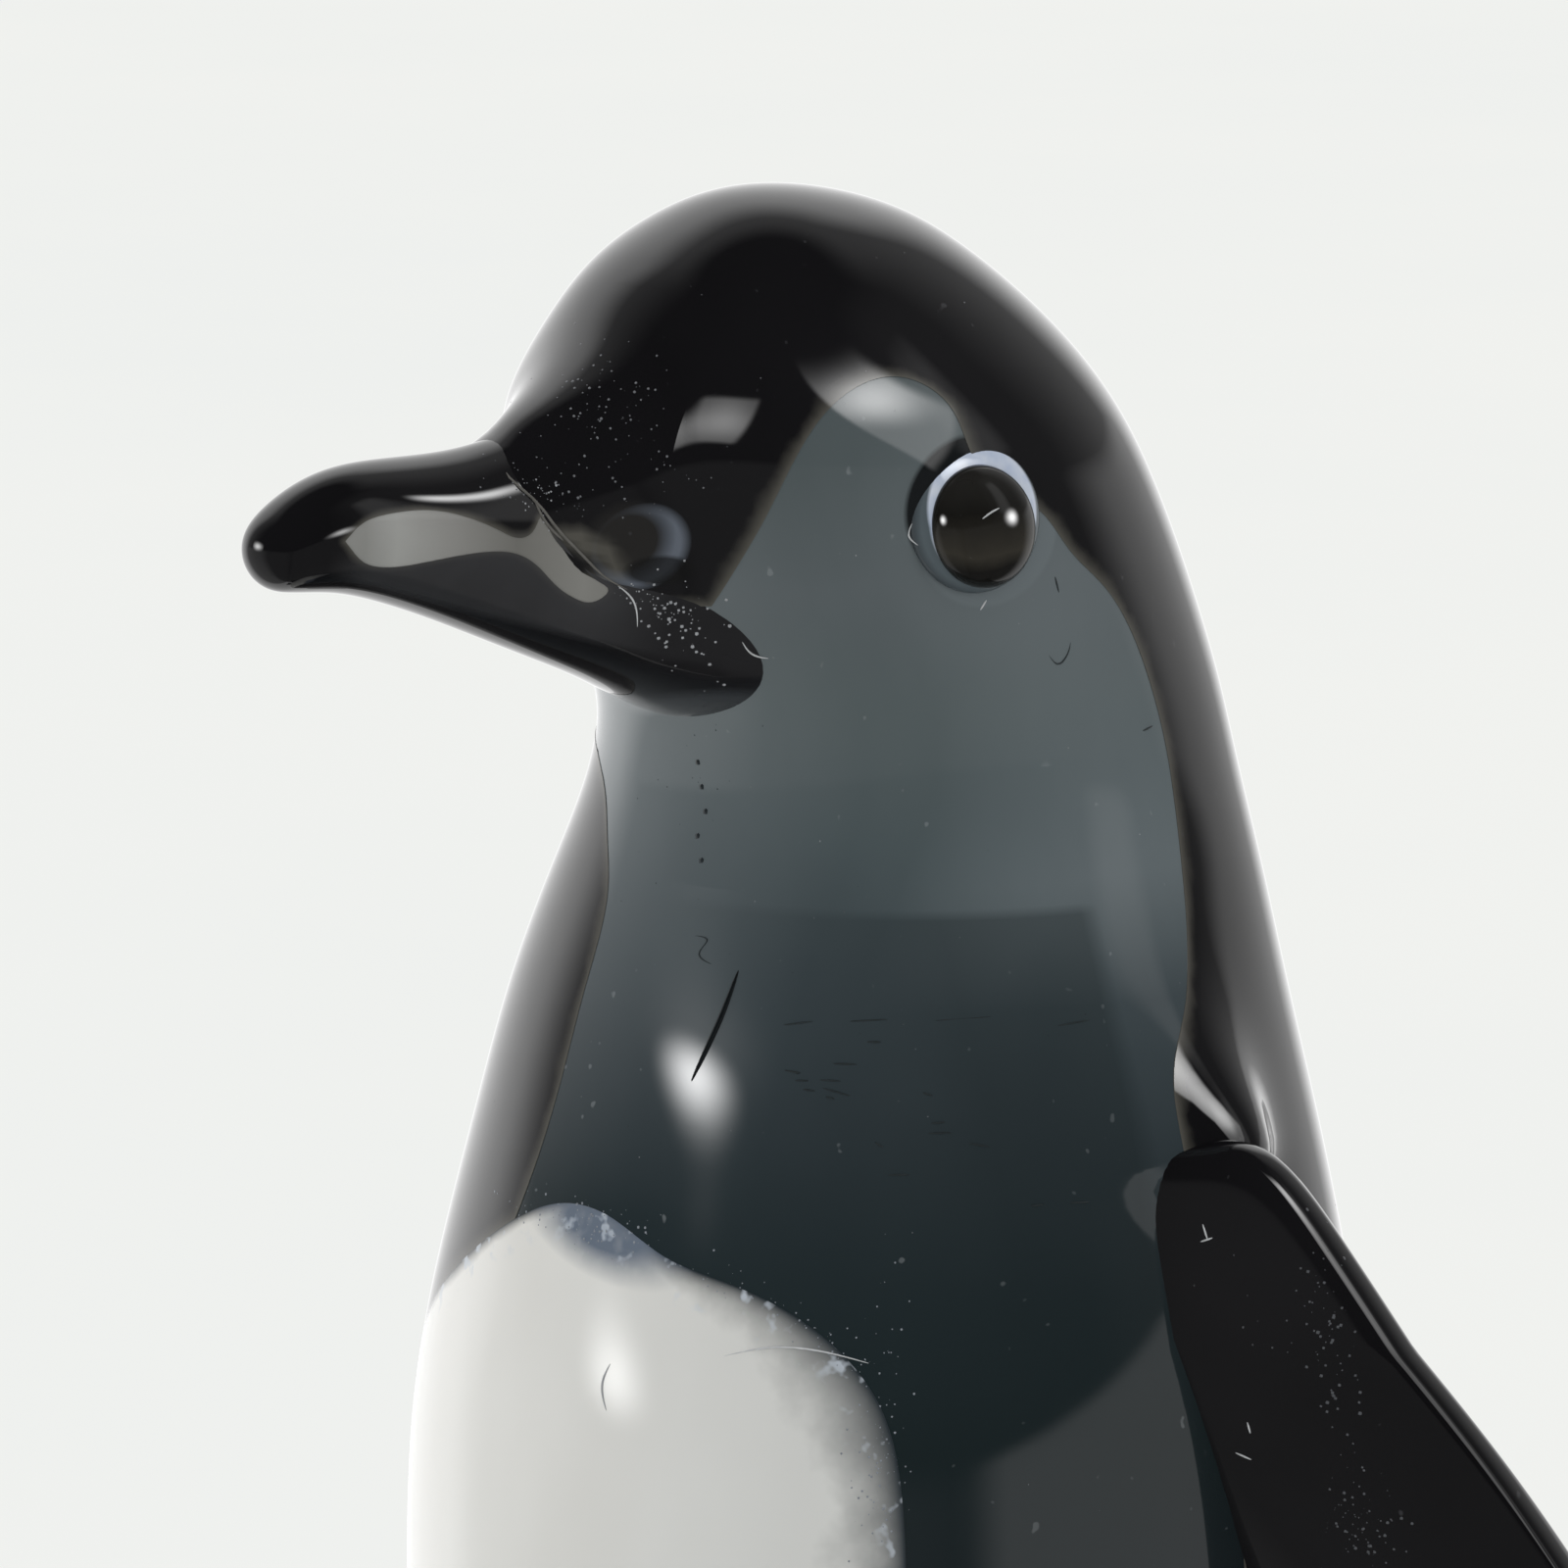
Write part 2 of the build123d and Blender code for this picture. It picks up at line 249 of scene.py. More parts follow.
@dataclass
class BodyForm(Form):
    """Upright body and head, with the flares where the bill and the flippers were fused on."""

    height: float = 175.4
    crown_back: float = -11.9
    collar_width: float = 5.2
    shoulder_reach: float = 4.6
    shoulder_level: float = 112.0
    foot_round: float = 1.2
    inset: float = 0.06
    # Share of the way after which the sole is drawn shut.
    open_share: float = 0.996
    # How far a flare fades out upwards, downwards and along, and how far back its middle lies.
    flare_up: float = 7.0
    flare_down: float = 3.0
    flare_run: float = 5.0
    flare_back: float = 2.0
    # Heights of the head and the foot, where the mesh is denser, and how many times.
    head_level: float = 145.0
    head_density: float = 1.7
    foot_level: float = 3.0
    foot_density: float = 4.0
    profile_points: int = 6001
    OUTWARD = -1.0
    # Cosine and sine of the turn at which the collar and the flares start, and their rise.
    FRONT = (0.1, 0.4)
    FLANK = (0.5, 0.3)
    # Rounds of the search for the turn of a point.
    ROUNDS = 6
    # Level, half width, half depth and how far back the middle lies.
    SECTIONS = (
        (-6.0, 20.4, 20.4, 0.0), (0.0, 23.2, 23.2, 0.0), (12.0, 27.3, 27.2, 0.0),
        (25.0, 30.4, 30.0, 0.0), (40.0, 32.4, 31.8, -0.1), (60.0, 34.0, 33.0, -0.3),
        (80.0, 34.4, 33.3, -0.6), (90.0, 33.7, 32.7, -0.7), (100.0, 32.0, 31.0, -0.6),
        (110.0, 29.5, 28.9, -0.3), (120.0, 26.8, 26.5, 0.0), (128.0, 24.3, 24.2, 0.8),
        (134.0, 22.2, 22.6, 1.3), (140.0, 20.8, 22.0, 0.7), (146.0, 20.6, 22.5, -1.9),
        (153.0, 20.5, 22.9, -5.4), (160.0, 19.4, 21.6, -8.2), (166.2, 15.8, 17.5, -9.6),
        (171.5, 10.8, 11.9, -10.75), (174.6, 5.1, 5.5, -11.4),
    )
    # Level and how far the head's glass reaches forward over the middle of the bill's root.
    COLLAR = (
        (137.0, 0.0), (140.0, 0.0), (142.0, 0.6), (144.0, 2.4), (146.5, 7.0), (149.0, 13.4),
        (151.0, 18.2), (153.4, 18.6), (155.4, 16.6), (156.8, 14.4), (158.1, 11.8), (159.3, 8.9),
        (160.3, 6.5), (161.5, 4.7), (163.3, 2.4), (165.5, 0.8), (168.0, 0.1), (171.0, 0.0),
        (175.4, 0.0),
    )

    def __post_init__(self) -> None:
        """Fits the sections and spreads the levels evenly along the profile."""
        rows = list(self.SECTIONS) + [(self.height, 0.0, 0.0, self.crown_back)]
        self.table = SmoothTable([r[0] for r in rows], [(r[1] ** 2, r[2] ** 2, r[3]) for r in rows])
        drop = np.linspace(0, 1, self.profile_points)
        levels = self.height * (1 - drop**2)
        half = np.sqrt(np.maximum(self.table.at(levels)[:, :2], 0)).mean(axis=1)
        runs = np.hypot(np.diff(levels), np.diff(half))
        middle = (levels[1:] + levels[:-1]) / 2
        runs = runs * np.where(middle > self.head_level, self.head_density, 1.0)
        runs = runs * np.where(middle < self.foot_level, self.foot_density, 1.0)
        self.along = np.concatenate([[0], np.cumsum(runs)])
        self.along /= self.along[-1]
        self.levels = levels
        self.collar = SmoothTable([row[0] for row in self.COLLAR], [row[1:] for row in self.COLLAR])

    def level(self, share: np.ndarray) -> np.ndarray:
        """Height of each share of the way from crown to ground."""
        return np.interp(np.minimum(share / self.open_share, 1), self.along, self.levels)

    def nub(self, side: np.ndarray, level: np.ndarray) -> np.ndarray:
        """How far the head's glass reaches forward over the root of the bill."""
        reach = np.maximum(self.collar.at(level)[..., 0], 0)
        return reach * np.exp(-((side / self.collar_width) ** 2))

    def shoulder(self, back: np.ndarray, level: np.ndarray) -> np.ndarray:
        """How far the side flares out over the root of a flipper."""
        rise = level - self.shoulder_level
        fade = np.exp(-((rise / np.where(rise > 0, self.flare_up, self.flare_down)) ** 2))
        along = (back - self.flare_back) / self.flare_run
        return self.shoulder_reach * fade * np.exp(-(along**2))

    def place(self, turn: np.ndarray, share: np.ndarray) -> np.ndarray:
        """Points of the body.

        Args:
            turn: Turns round the body.
            share: Shares of its length.

        Returns:
            The points, in millimetres.
        """
        level = self.level(share)
        squares = self.table.at(level)
        shut = np.clip((1 - share) / (1 - self.open_share), 0, 1)
        edge = np.clip(level / self.foot_round, 0, 1)
        tuck = self.foot_round * 0.5 * (1 - np.sqrt(np.maximum(1 - (1 - edge) ** 2, 0)))
        half_width = (np.sqrt(np.maximum(squares[..., 0], 0)) - tuck) * shut
        half_depth = (np.sqrt(np.maximum(squares[..., 1], 0)) - tuck) * shut
        side = half_width * np.sin(turn)
        back = squares[..., 2] - half_depth * np.cos(turn)
        front = smooth_step((np.cos(turn) - self.FRONT[0]) / self.FRONT[1])
        flank = smooth_step((np.abs(np.sin(turn)) - self.FLANK[0]) / self.FLANK[1])
        forward = self.nub(side, level) * front
        outward = self.shoulder(back, level) * flank * np.sign(side)
        rise = self.inset + level * (1 - 2 * self.inset / self.height)
        return np.stack([side + outward, back - forward, rise], axis=-1)

    def find(self, points: np.ndarray) -> tuple[np.ndarray, np.ndarray]:
        """Turn and share of points near the body.

        Args:
            points: The points, in millimetres.

        Returns:
            Their turns, and their shares.
        """
        rise = (points[:, 2] - self.inset) / (1 - 2 * self.inset / self.height)
        level = np.clip(rise, 0, self.height)
        run = np.interp(-level, -self.levels, self.along) * self.open_share
        squares = self.table.at(level)
        half = np.sqrt(np.maximum(squares[:, :2], TINY))
        turn = np.arctan2(points[:, 0] / half[:, 0], (squares[:, 2] - points[:, 1]) / half[:, 1])
        for _ in range(self.ROUNDS):
            found = self.place(turn, run)
            side = points[:, 0] - (found[:, 0] - half[:, 0] * np.sin(turn))
            back = points[:, 1] - (found[:, 1] - (squares[:, 2] - half[:, 1] * np.cos(turn)))
            turn = np.arctan2(side / half[:, 0], (squares[:, 2] - back) / half[:, 1])
        return turn, run


@dataclass
class BillForm(Form):
    """Bill, drawn forward from its root inside the head."""

    tip: float = -56.3
    tip_level: float = 154.7
    # Power by which the mesh is denser towards the tip.
    density: float = 1.6
    # How far back, top, underside, and half widths above and below.
    SECTIONS = (
        (-15.0, 161.0, 139.6, 6.6, 14.6), (-20.5, 162.4, 140.0, 6.4, 13.8),
        (-24.0, 162.4, 141.4, 6.0, 11.4), (-28.0, 161.8, 143.3, 5.6, 8.4),
        (-32.0, 161.0, 145.0, 5.2, 6.4), (-38.8, 159.9, 147.8, 4.6, 4.8),
        (-45.4, 159.8, 150.3, 4.2, 4.2), (-50.0, 159.4, 151.5, 3.8, 3.8),
        (-53.6, 158.0, 151.9, 3.1, 3.1), (-55.5, 156.6, 152.7, 2.1, 2.1),
    )

    def __post_init__(self) -> None:
        """Fits the middle line and the squared half sizes of the sections."""
        rows = []
        for back, top, under, above, below in self.SECTIONS:
            rows.append((-back, (top + under) / 2, ((top - under) / 2) ** 2, above**2, below**2))
        rows.append((-self.tip, self.tip_level, 0.0, 0.0, 0.0))
        self.table = SmoothTable([r[0] for r in rows], [r[1:] for r in rows])
        self.root = rows[0][0]

    def reach(self, share: np.ndarray) -> np.ndarray:
        """Distance forward at a share of the way from tip to root, crowded at the tip."""
        share = np.clip(share / OPEN_SHARE, 0, 1)
        return -self.tip - (-self.tip - self.root) * share**self.density

    def place(self, turn: np.ndarray, share: np.ndarray) -> np.ndarray:
        """Points of the bill.

        Args:
            turn: Turns round the bill; nought is the ridge.
            share: Shares of its length.

        Returns:
            The points, in millimetres.
        """
        reach = self.reach(share)
        middle, tall, above, below = np.moveaxis(self.table.at(reach), -1, 0)
        shut = np.clip((1 - share) / SHUT_SHARE, 0, 1)
        low = (1 - np.cos(turn)) / 2
        above, below = np.sqrt(np.maximum(above, 0)), np.sqrt(np.maximum(below, 0))
        half = (above + (below - above) * low) * shut
        height = middle + np.sqrt(np.maximum(tall, 0)) * shut * np.cos(turn)
        return np.stack([half * np.sin(turn), -reach, height], axis=-1)

    def find(self, points: np.ndarray) -> tuple[np.ndarray, np.ndarray]:
        """Turn and share of points near the bill.

        Args:
            points: The points, in millimetres.

        Returns:
            Their turns, and their shares.
        """
        reach = np.clip(-points[:, 1], self.root, -self.tip - 1e-6)
        run = (-self.tip - reach) / (-self.tip - self.root)
        share = run ** (1 / self.density) * OPEN_SHARE
        middle, tall, above, below = np.moveaxis(self.table.at(reach), -1, 0)
        cosine = np.clip((points[:, 2] - middle) / np.sqrt(np.maximum(tall, TINY)), -1, 1)
        above, below = np.sqrt(np.maximum(above, TINY)), np.sqrt(np.maximum(below, TINY))
        half = above + (below - above) * (1 - cosine) / 2
        return np.arctan2(points[:, 0] / half, cosine), share


@dataclass
class FlipperForm(Form):
    """Flipper, reaching out from its root line in the side of the body."""

    side: Side
    root: float = 33.0
    turn_back: float = 25.0
    lean_start: float = 100.0
    lean: float = 0.22
    square: float = 0.95
    tip_reach: float = 33.4
    tip_level: float = 58.2
    # Height of the roll along the upper edge, its width as a turn, its gain so that it peaks at
    # that height, and the squared half thickness below which it thins out.
    rim: float = 0.75
    rim_turn: float = 0.44
    rim_gain: float = 2.3
    rim_thin: float = 4.0
    # Power by which the mesh is denser towards the tip.
    density: float = 1.5
    # Reach, top, underside and thickness.
    SECTIONS = (
        (-9.0, 112.6, 76.0, 5.6), (-3.0, 112.8, 73.5, 6.4), (2.6, 112.6, 68.6, 6.8),
        (7.6, 107.3, 62.6, 6.8), (13.0, 100.0, 57.2, 6.6), (19.0, 91.2, 52.6, 6.2),
        (25.0, 80.2, 49.6, 5.6), (29.4, 70.6, 50.0, 4.8), (32.2, 63.8, 52.4, 3.4),
    )

    def __post_init__(self) -> None:
        """Fits the middle line and the squared half sizes of the sections."""
        rows = []
        for reach, top, under, thick in self.SECTIONS:
            rows.append((reach, (top + under) / 2, ((top - under) / 2) ** 2, (thick / 2) ** 2))
        rows.append((self.tip_reach, self.tip_level, 0.0, 0.0))
        self.table = SmoothTable([r[0] for r in rows], [r[1:] for r in rows])
        self.start = rows[0][0]

    def place(self, turn: np.ndarray, share: np.ndarray) -> np.ndarray:
        """Points of the flipper.

        Args:
            turn: Turns round the flipper; nought is its lower edge.
            share: Shares of its length.

        Returns:
            The points, in millimetres.
        """
        inner = np.clip(share / OPEN_SHARE, 0, 1)
        reach = self.tip_reach - (self.tip_reach - self.start) * inner**self.density
        middle, tall, thick = np.moveaxis(self.table.at(reach), -1, 0)
        shut = np.clip((1 - share) / SHUT_SHARE, 0, 1)
        cosine = np.sign(np.cos(turn)) * np.abs(np.cos(turn)) ** self.square
        sine = np.sign(np.sin(turn)) * np.abs(np.sin(turn)) ** self.square
        level = middle - np.sqrt(np.maximum(tall, 0)) * cosine * shut
        edge = (math.pi - np.abs(np.mod(turn + math.pi, math.tau) - math.pi)) / self.rim_turn
        roll = self.rim * np.sign(np.sin(turn)) * edge * np.exp(-(edge**2)) * self.rim_gain
        roll = roll * np.minimum(thick / self.rim_thin, 1)
        across = (np.sqrt(np.maximum(thick, 0)) * sine + roll) * shut
        angle = math.radians(self.turn_back)
        out = self.root + reach * math.cos(angle) - across * math.sin(angle)
        lean = self.lean * np.maximum(self.lean_start - level, 0)
        back = lean + reach * math.sin(angle) + across * math.cos(angle)
        return np.stack([out * self.side.value, back, level], axis=-1)


# --------------------------------------------------------------------------------------------
# Mesh work
# --------------------------------------------------------------------------------------------


class Solver:
    """Boolean work on closed meshes."""

    @staticmethod
    def _object(bm: bmesh.types.BMesh, name: str) -> bpy.types.Object:
        """Puts a mesh in the scene for a moment."""
        mesh = bpy.data.meshes.new(name)
        bm.to_mesh(mesh)
        bm.free()
        made = bpy.data.objects.new(name, mesh)
        bpy.context.scene.collection.objects.link(made)
        return made

    @classmethod
    def carve(
        cls, start: bmesh.types.BMesh, cuts: Sequence[tuple[str, bmesh.types.BMesh]]
    ) -> bmesh.types.BMesh:
        """Cuts a mesh by others, which are used up.

        Args:
            start: The mesh that is cut.
            cuts: Operation, DIFFERENCE, INTERSECT or UNION, and the mesh that does it.

        Returns:
            The mesh that is left.
        """
        work = cls._object(start, "carve_start")
        spent = [work]
        for index, (operation, cut) in enumerate(cuts):
            tool = cls._object(cut, f"carve_cut_{index}")
            tool.hide_render = True
            spent.append(tool)
            step = work.modifiers.new(f"carve_{index}", "BOOLEAN")
            step.operation = operation
            step.solver = "MANIFOLD"
            step.object = tool
        graph = bpy.context.evaluated_depsgraph_get()
        mesh = bpy.data.meshes.new_from_object(work.evaluated_get(graph))
        result = bmesh.new()
        result.from_mesh(mesh)
        bpy.data.meshes.remove(mesh)
        for item in spent:
            data = item.data
            bpy.data.objects.remove(item)
            bpy.data.meshes.remove(data)
        return result


def glass_ball(matrix: Matrix, around: int, levels: int) -> bmesh.types.BMesh:
    """Ball of glass carried to its place by a matrix, its faces outwards."""
    bm = bmesh.new()
    bmesh.ops.create_uvsphere(bm, u_segments=around, v_segments=levels, radius=1.0, matrix=matrix)
    bmesh.ops.recalc_face_normals(bm, faces=bm.faces)
    return bm


def mirror(side: Side) -> Matrix:
    """Matrix from millimetres to metres, for the left side or its mirror image."""
    return Matrix.Diagonal((side.value * MM, MM, MM, 1))


def cut_level(bm: bmesh.types.BMesh, level: float, way: int) -> None:
    """Takes off the glass above a level in millimetres, or below it, and closes the cut.

    Args:
        bm: The glass, which is cut in place.
        level: Height of the cut, in millimetres.
        way: One to take off what is above, minus one what is below.
    """
    cut = bmesh.ops.bisect_plane(
        bm,
        geom=bm.verts[:] + bm.edges[:] + bm.faces[:],
        plane_co=(0, 0, level * MM),
        plane_no=(0, 0, way),
        clear_outer=True,
    )
    rim = [item for item in cut["geom_cut"] if isinstance(item, bmesh.types.BMEdge)]
    bmesh.ops.holes_fill(bm, edges=rim)


def prism(outline: np.ndarray, matrix: Matrix, start: float, end: float) -> bmesh.types.BMesh:
    """Upright-sided cutter.

    Args:
        outline: Points of its closed outline, in millimetres.
        matrix: Turn from the outline's flat to the model.
        start: Where it begins across the flat.
        end: Where it ends.

    Returns:
        The cutter, in metres.
    """
    bm = bmesh.new()
    bmesh.ops.create_circle(bm, cap_ends=True, segments=len(outline), radius=1.0)
    bm.verts.ensure_lookup_table()
    for vert, point in zip(bm.verts, outline, strict=True):
        vert.co = matrix @ Vector((point[0], point[1], start))
    made = bmesh.ops.extrude_face_region(bm, geom=bm.faces[:])
    moved = [item for item in made["geom"] if isinstance(item, bmesh.types.BMVert)]
    bmesh.ops.translate(bm, verts=moved, vec=matrix @ Vector((0, 0, end - start)))
    bmesh.ops.scale(bm, verts=bm.verts, vec=(MM, MM, MM))
    bmesh.ops.recalc_face_normals(bm, faces=bm.faces)
    return bm


# Outline flats: side view (Y, Z, across X) and front view (X, Z, across -Y).
SIDE_VIEW = Matrix(((0, 0, 1), (1, 0, 0), (0, 1, 0)))
FRONT_VIEW = Matrix(((1, 0, 0), (0, 0, -1), (0, 1, 0)))


@dataclass
class Piece:
    """A finished mesh on its way into the scene."""

    name: str
    bm: bmesh.types.BMesh
    finish: bpy.types.Material
    slot: Slot
    replaces: tuple[str, ...] = ()

    def settle(
        self, form: Form | None = None, swell: float = 0.0, joint: float = NO_JOINT
    ) -> bpy.types.Object:
        """Makes the object, with the form's own smooth light on its outer skin.

        Args:
            form: The form that the outer skin follows, if its seams have to be hidden.
            swell: How far the outer skin stands off the form, in millimetres.
            joint: Millimetres across at which the skin only meets its other half.

        Returns:
            The object, riding on the model.
        """
        bm = self.bm
        if form is not None:
            bmesh.ops.triangulate(bm, faces=[face for face in bm.faces if len(face.verts) > 4])
        mesh = bpy.data.meshes.new(self.name)
        for face in bm.faces:
            face.smooth = True
        bm.to_mesh(mesh)
        bm.free()
        if form is not None:
            self._light(mesh, form, swell, joint)
        made = bpy.data.objects.new(self.name, mesh)
        bpy.context.scene.collection.objects.link(made)
        mesh.materials.append(self.finish)
        if self.replaces:
            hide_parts(*self.replaces)
        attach(made, ROOT_BODY)
        faces = sum(len(face.vertices) - 2 for face in mesh.polygons)
        LOG.info("%s: %d triangles, slot %s", self.name, faces, self.slot.value)
        return made

    @staticmethod
    def _light(mesh: bpy.types.Mesh, form: Form, swell: float, joint: float) -> None:
        """Gives the outer skin the form's own directions, and each point its gap to the edge.

        Args:
            mesh: The piece's mesh.
            form: The form that its skin follows.
            swell: How far the skin stands off the form, in millimetres.
            joint: Millimetres across at which the skin only meets its other half.
        """
        points = np.zeros(len(mesh.vertices) * 3)
        mesh.vertices.foreach_get("co", points)
        points = points.reshape(-1, 3) / MM
        turn, share = form.find(points)
        normal = form.normals(turn, np.clip(share, POLE_SHARE, 1 - POLE_SHARE))
        for _ in range(3):
            turn, share = form.find(points - normal * swell)
            normal = form.normals(turn, np.clip(share, POLE_SHARE, 1 - POLE_SHARE))
        gap = np.linalg.norm(form.place(turn, share) + normal * swell - points, axis=1)
        on_skin = gap < SKIN_GAP
        corners = np.zeros(len(mesh.loops), int)
        mesh.loops.foreach_get("vertex_index", corners)
        totals = np.zeros(len(mesh.polygons), int)
        mesh.polygons.foreach_get("loop_total", totals)
        flat = np.zeros(len(mesh.polygons) * 3)
        mesh.polygons.foreach_get("normal", flat)
        owner = np.repeat(np.arange(len(totals)), totals)
        facing = np.einsum("ij,ij->i", flat.reshape(-1, 3)[owner], normal[corners])
        good = on_skin[corners] & (facing > SKIN_FACING)
        whole = np.ones(len(totals), bool)
        np.logical_and.at(whole, owner, good)
        chosen = np.where(whole[owner][:, None], normal[corners], 0.0)
        mesh.normals_split_custom_set(chosen.tolist())
        # An edge of the skin has one skin face, marked 1, and one other face, marked 2.
        marks: dict[tuple[int, int], int] = {}
        for polygon in mesh.polygons:
            for key in polygon.edge_keys:
                marks[key] = marks.get(key, 0) + (1 if whole[polygon.index] else 2)
        samples: list[np.ndarray] = []
        for (one, other), mark in marks.items():
            first, second = points[one], points[other]
            if mark == 3 and abs(first + second - 2 * joint)[0] > JOINT_GAP:
                count = max(2, int(np.linalg.norm(second - first) / EDGE_SPACING) + 1)
                samples.extend(first + (second - first) * k / (count - 1) for k in range(count))
        values = np.full(len(points), FARTHEST_GAP)
        if samples:
            rim = KDTree(len(samples))
            for index, sample in enumerate(samples):
                rim.insert(sample, index)
            rim.balance()
            values = np.array([rim.find(point)[2] for point in points])
        layer = mesh.attributes.new(EDGE_GAP, "FLOAT", "POINT")
        layer.data.foreach_set("value", np.minimum(values, FARTHEST_GAP).astype(np.float32))


# --------------------------------------------------------------------------------------------
# Finishes
# --------------------------------------------------------------------------------------------

Stop = tuple[float, tuple[int, int, int]]


class ShaderSheet:
    """Shader nodes of a finish, a lamp or the world, laid with short calls."""

    def __init__(self, tree: bpy.types.NodeTree) -> None:
        """Clears the tree."""
        self.tree = tree
        tree.nodes.clear()

    def add(self, kind: str, **settings: object) -> bpy.types.Node:
        """Adds a node.

        Args:
            kind: Its type name.
            settings: Properties that are set on it.

        Returns:
            The node.
        """
        node = self.tree.nodes.new(kind)
        for key, value in settings.items():
            setattr(node, key, value)
        return node

    def feed(self, node: bpy.types.Node, name: str | int, source: object) -> None:
        """Links an output, or sets a plain value, on a node's input."""
        socket = node.inputs[name]
        if isinstance(source, bpy.types.NodeSocket):
            self.tree.links.new(source, socket)
        elif isinstance(source, tuple) and len(source) == 3 and socket.type == "RGBA":
            socket.default_value = (*source, 1.0)
        else:
            socket.default_value = source

    def math(self, operation: str, first: object, second: object = 0.0) -> bpy.types.NodeSocket:
        """Result of a sum on two values."""
        node = self.add("ShaderNodeMath", operation=operation)
        self.feed(node, 0, first)
        self.feed(node, 1, second)
        return node.outputs[0]

    def product(self, first: object, *others: object) -> object:
        """All the values multiplied together."""
        for other in others:
            first = self.math("MULTIPLY", first, other)
        return first

    def mix(self, share: object, first: object, second: object) -> bpy.types.NodeSocket:
        """Mixture of two colours."""
        node = self.add("ShaderNodeMix", data_type="RGBA")
        self.feed(node, 0, share)
        self.feed(node, 6, first)
        self.feed(node, 7, second)
        return node.outputs[2]

    def split(self, vector: object) -> bpy.types.Node:
        """Parts of a vector."""
        node = self.add("ShaderNodeSeparateXYZ")
        self.feed(node, 0, vector)
        return node

    def distance(self, across: object, along: object) -> bpy.types.NodeSocket:
        """Distance from the middle of a flat, from the places across and along it."""
        squares = [self.math("POWER", self.math("ABSOLUTE", item), 2.0) for item in (across, along)]
        return self.math("SQRT", self.math("ADD", *squares))


class NodeSheet(ShaderSheet):
    """Shader nodes of one finish."""

    # Half depth of a mark in millimetres, and how far it faces round to the left in degrees.
    MARK_DEPTH = 9
    MARK_TURN = 48
    GLASS_IOR = 1.5

    def __init__(self, name: str) -> None:
        """Starts an empty material of that name."""
        self.material = bpy.data.materials.new(name)
        self.material.use_nodes = True
        super().__init__(self.material.node_tree)
        self.object_place = self.add("ShaderNodeTexCoord").outputs["Object"]

    @cached_property
    def parts(self) -> bpy.types.Node:
        """Place on the piece, parted into X, Y and Z."""
        return self.split(self.object_place)

    def along(
        self, axis: str, start: float, end: float, low: float = 0.0, high: float = 1.0
    ) -> bpy.types.NodeSocket:
        """Value that changes between two places on an axis, in millimetres, held beyond them."""
        return self.span(self.parts.outputs[axis], start * MM, end * MM, low, high)

    def moved(self, place: Place, turn: Place, size: Place) -> bpy.types.NodeSocket:
        """Object coordinates centred on a place, turned, and scaled."""
        node = self.add("ShaderNodeMapping", vector_type="TEXTURE")
        self.feed(node, "Vector", self.object_place)
        self.feed(node, "Location", tuple(value * MM for value in place))
        self.feed(node, "Rotation", tuple(math.radians(value) for value in turn))
        self.feed(node, "Scale", size)
        return node.outputs[0]

    def stretched(self, size: Place) -> bpy.types.NodeSocket:
        """Object coordinates drawn out along the axes."""
        node = self.add("ShaderNodeMapping", vector_type="POINT")
        self.feed(node, "Vector", self.object_place)
        self.feed(node, "Scale", size)
        return node.outputs[0]

    def noise(
        self, scale: float, detail: float, rough: float, place: object = None
    ) -> bpy.types.NodeSocket:
        """Cloudy pattern; a scale of 100 has clouds of about a centimetre."""
        node = self.add("ShaderNodeTexNoise")
        self.feed(node, "Vector", self.object_place if place is None else place)
        self.feed(node, "Scale", scale)
        self.feed(node, "Detail", detail)
        self.feed(node, "Roughness", rough)
        return node.outputs["Fac"]

    def ramp(self, value: object, stops: Sequence[Stop]) -> bpy.types.NodeSocket:
        """Display colour that changes evenly with a value.

        Args:
            value: Output that runs from nought to one.
            stops: Places on it, each with its display colour.

        Returns:
            The colour, as an output.
        """
        node = self.add("ShaderNodeValToRGB")
        band = node.color_ramp
        while len(band.elements) < len(stops):
            band.elements.new(0.5)
        for element, (place, colour) in zip(band.elements, stops, strict=True):
            element.position = place
            element.color = (*from_srgb(*colour), 1.0)
        self.feed(node, 0, value)
        return node.outputs["Color"]

    def span(
        self, value: object, low: float, high: float, start: float = 0.0, end: float = 1.0
    ) -> bpy.types.NodeSocket:
        """Value stretched from one range to another, held at its ends."""
        node = self.add("ShaderNodeMapRange")
        for key, item in enumerate((value, low, high, start, end)):
            self.feed(node, key, item)
        return node.outputs[0]

    def thinning(self, gap: object, width: float, power: float) -> bpy.types.NodeSocket:
        """Share that rises to one where a gap to the edge runs out."""
        return self.math("POWER", self.span(gap, 0.0, width, 1.0, 0.0), power)

    def mark(
        self, place: Place, sizes: tuple[float, float], lean: float, soft: float
    ) -> bpy.types.NodeSocket:
        """Share of an oval that faces the bird's left front, one in its middle.

        Args:
            place: Its middle, in millimetres.
            sizes: Half width and half height, in millimetres.
            lean: Turn of the oval in degrees, its top away from the beak.
            soft: Width of its soft edge, as a share of its size.

        Returns:
            The share.
        """
        size = (sizes[0] * MM, self.MARK_DEPTH * MM, sizes[1] * MM)
        far = self.add("ShaderNodeVectorMath", operation="LENGTH")
        self.feed(far, 0, self.moved(place, (0, lean, self.MARK_TURN), size))
        return self.span(far.outputs["Value"], 1.0 + soft / 2, 1.0 - soft / 2)

    def attribute(self, name: str) -> bpy.types.NodeSocket:
        """Value kept on the mesh."""
        return self.add("ShaderNodeAttribute", attribute_name=name).outputs["Fac"]

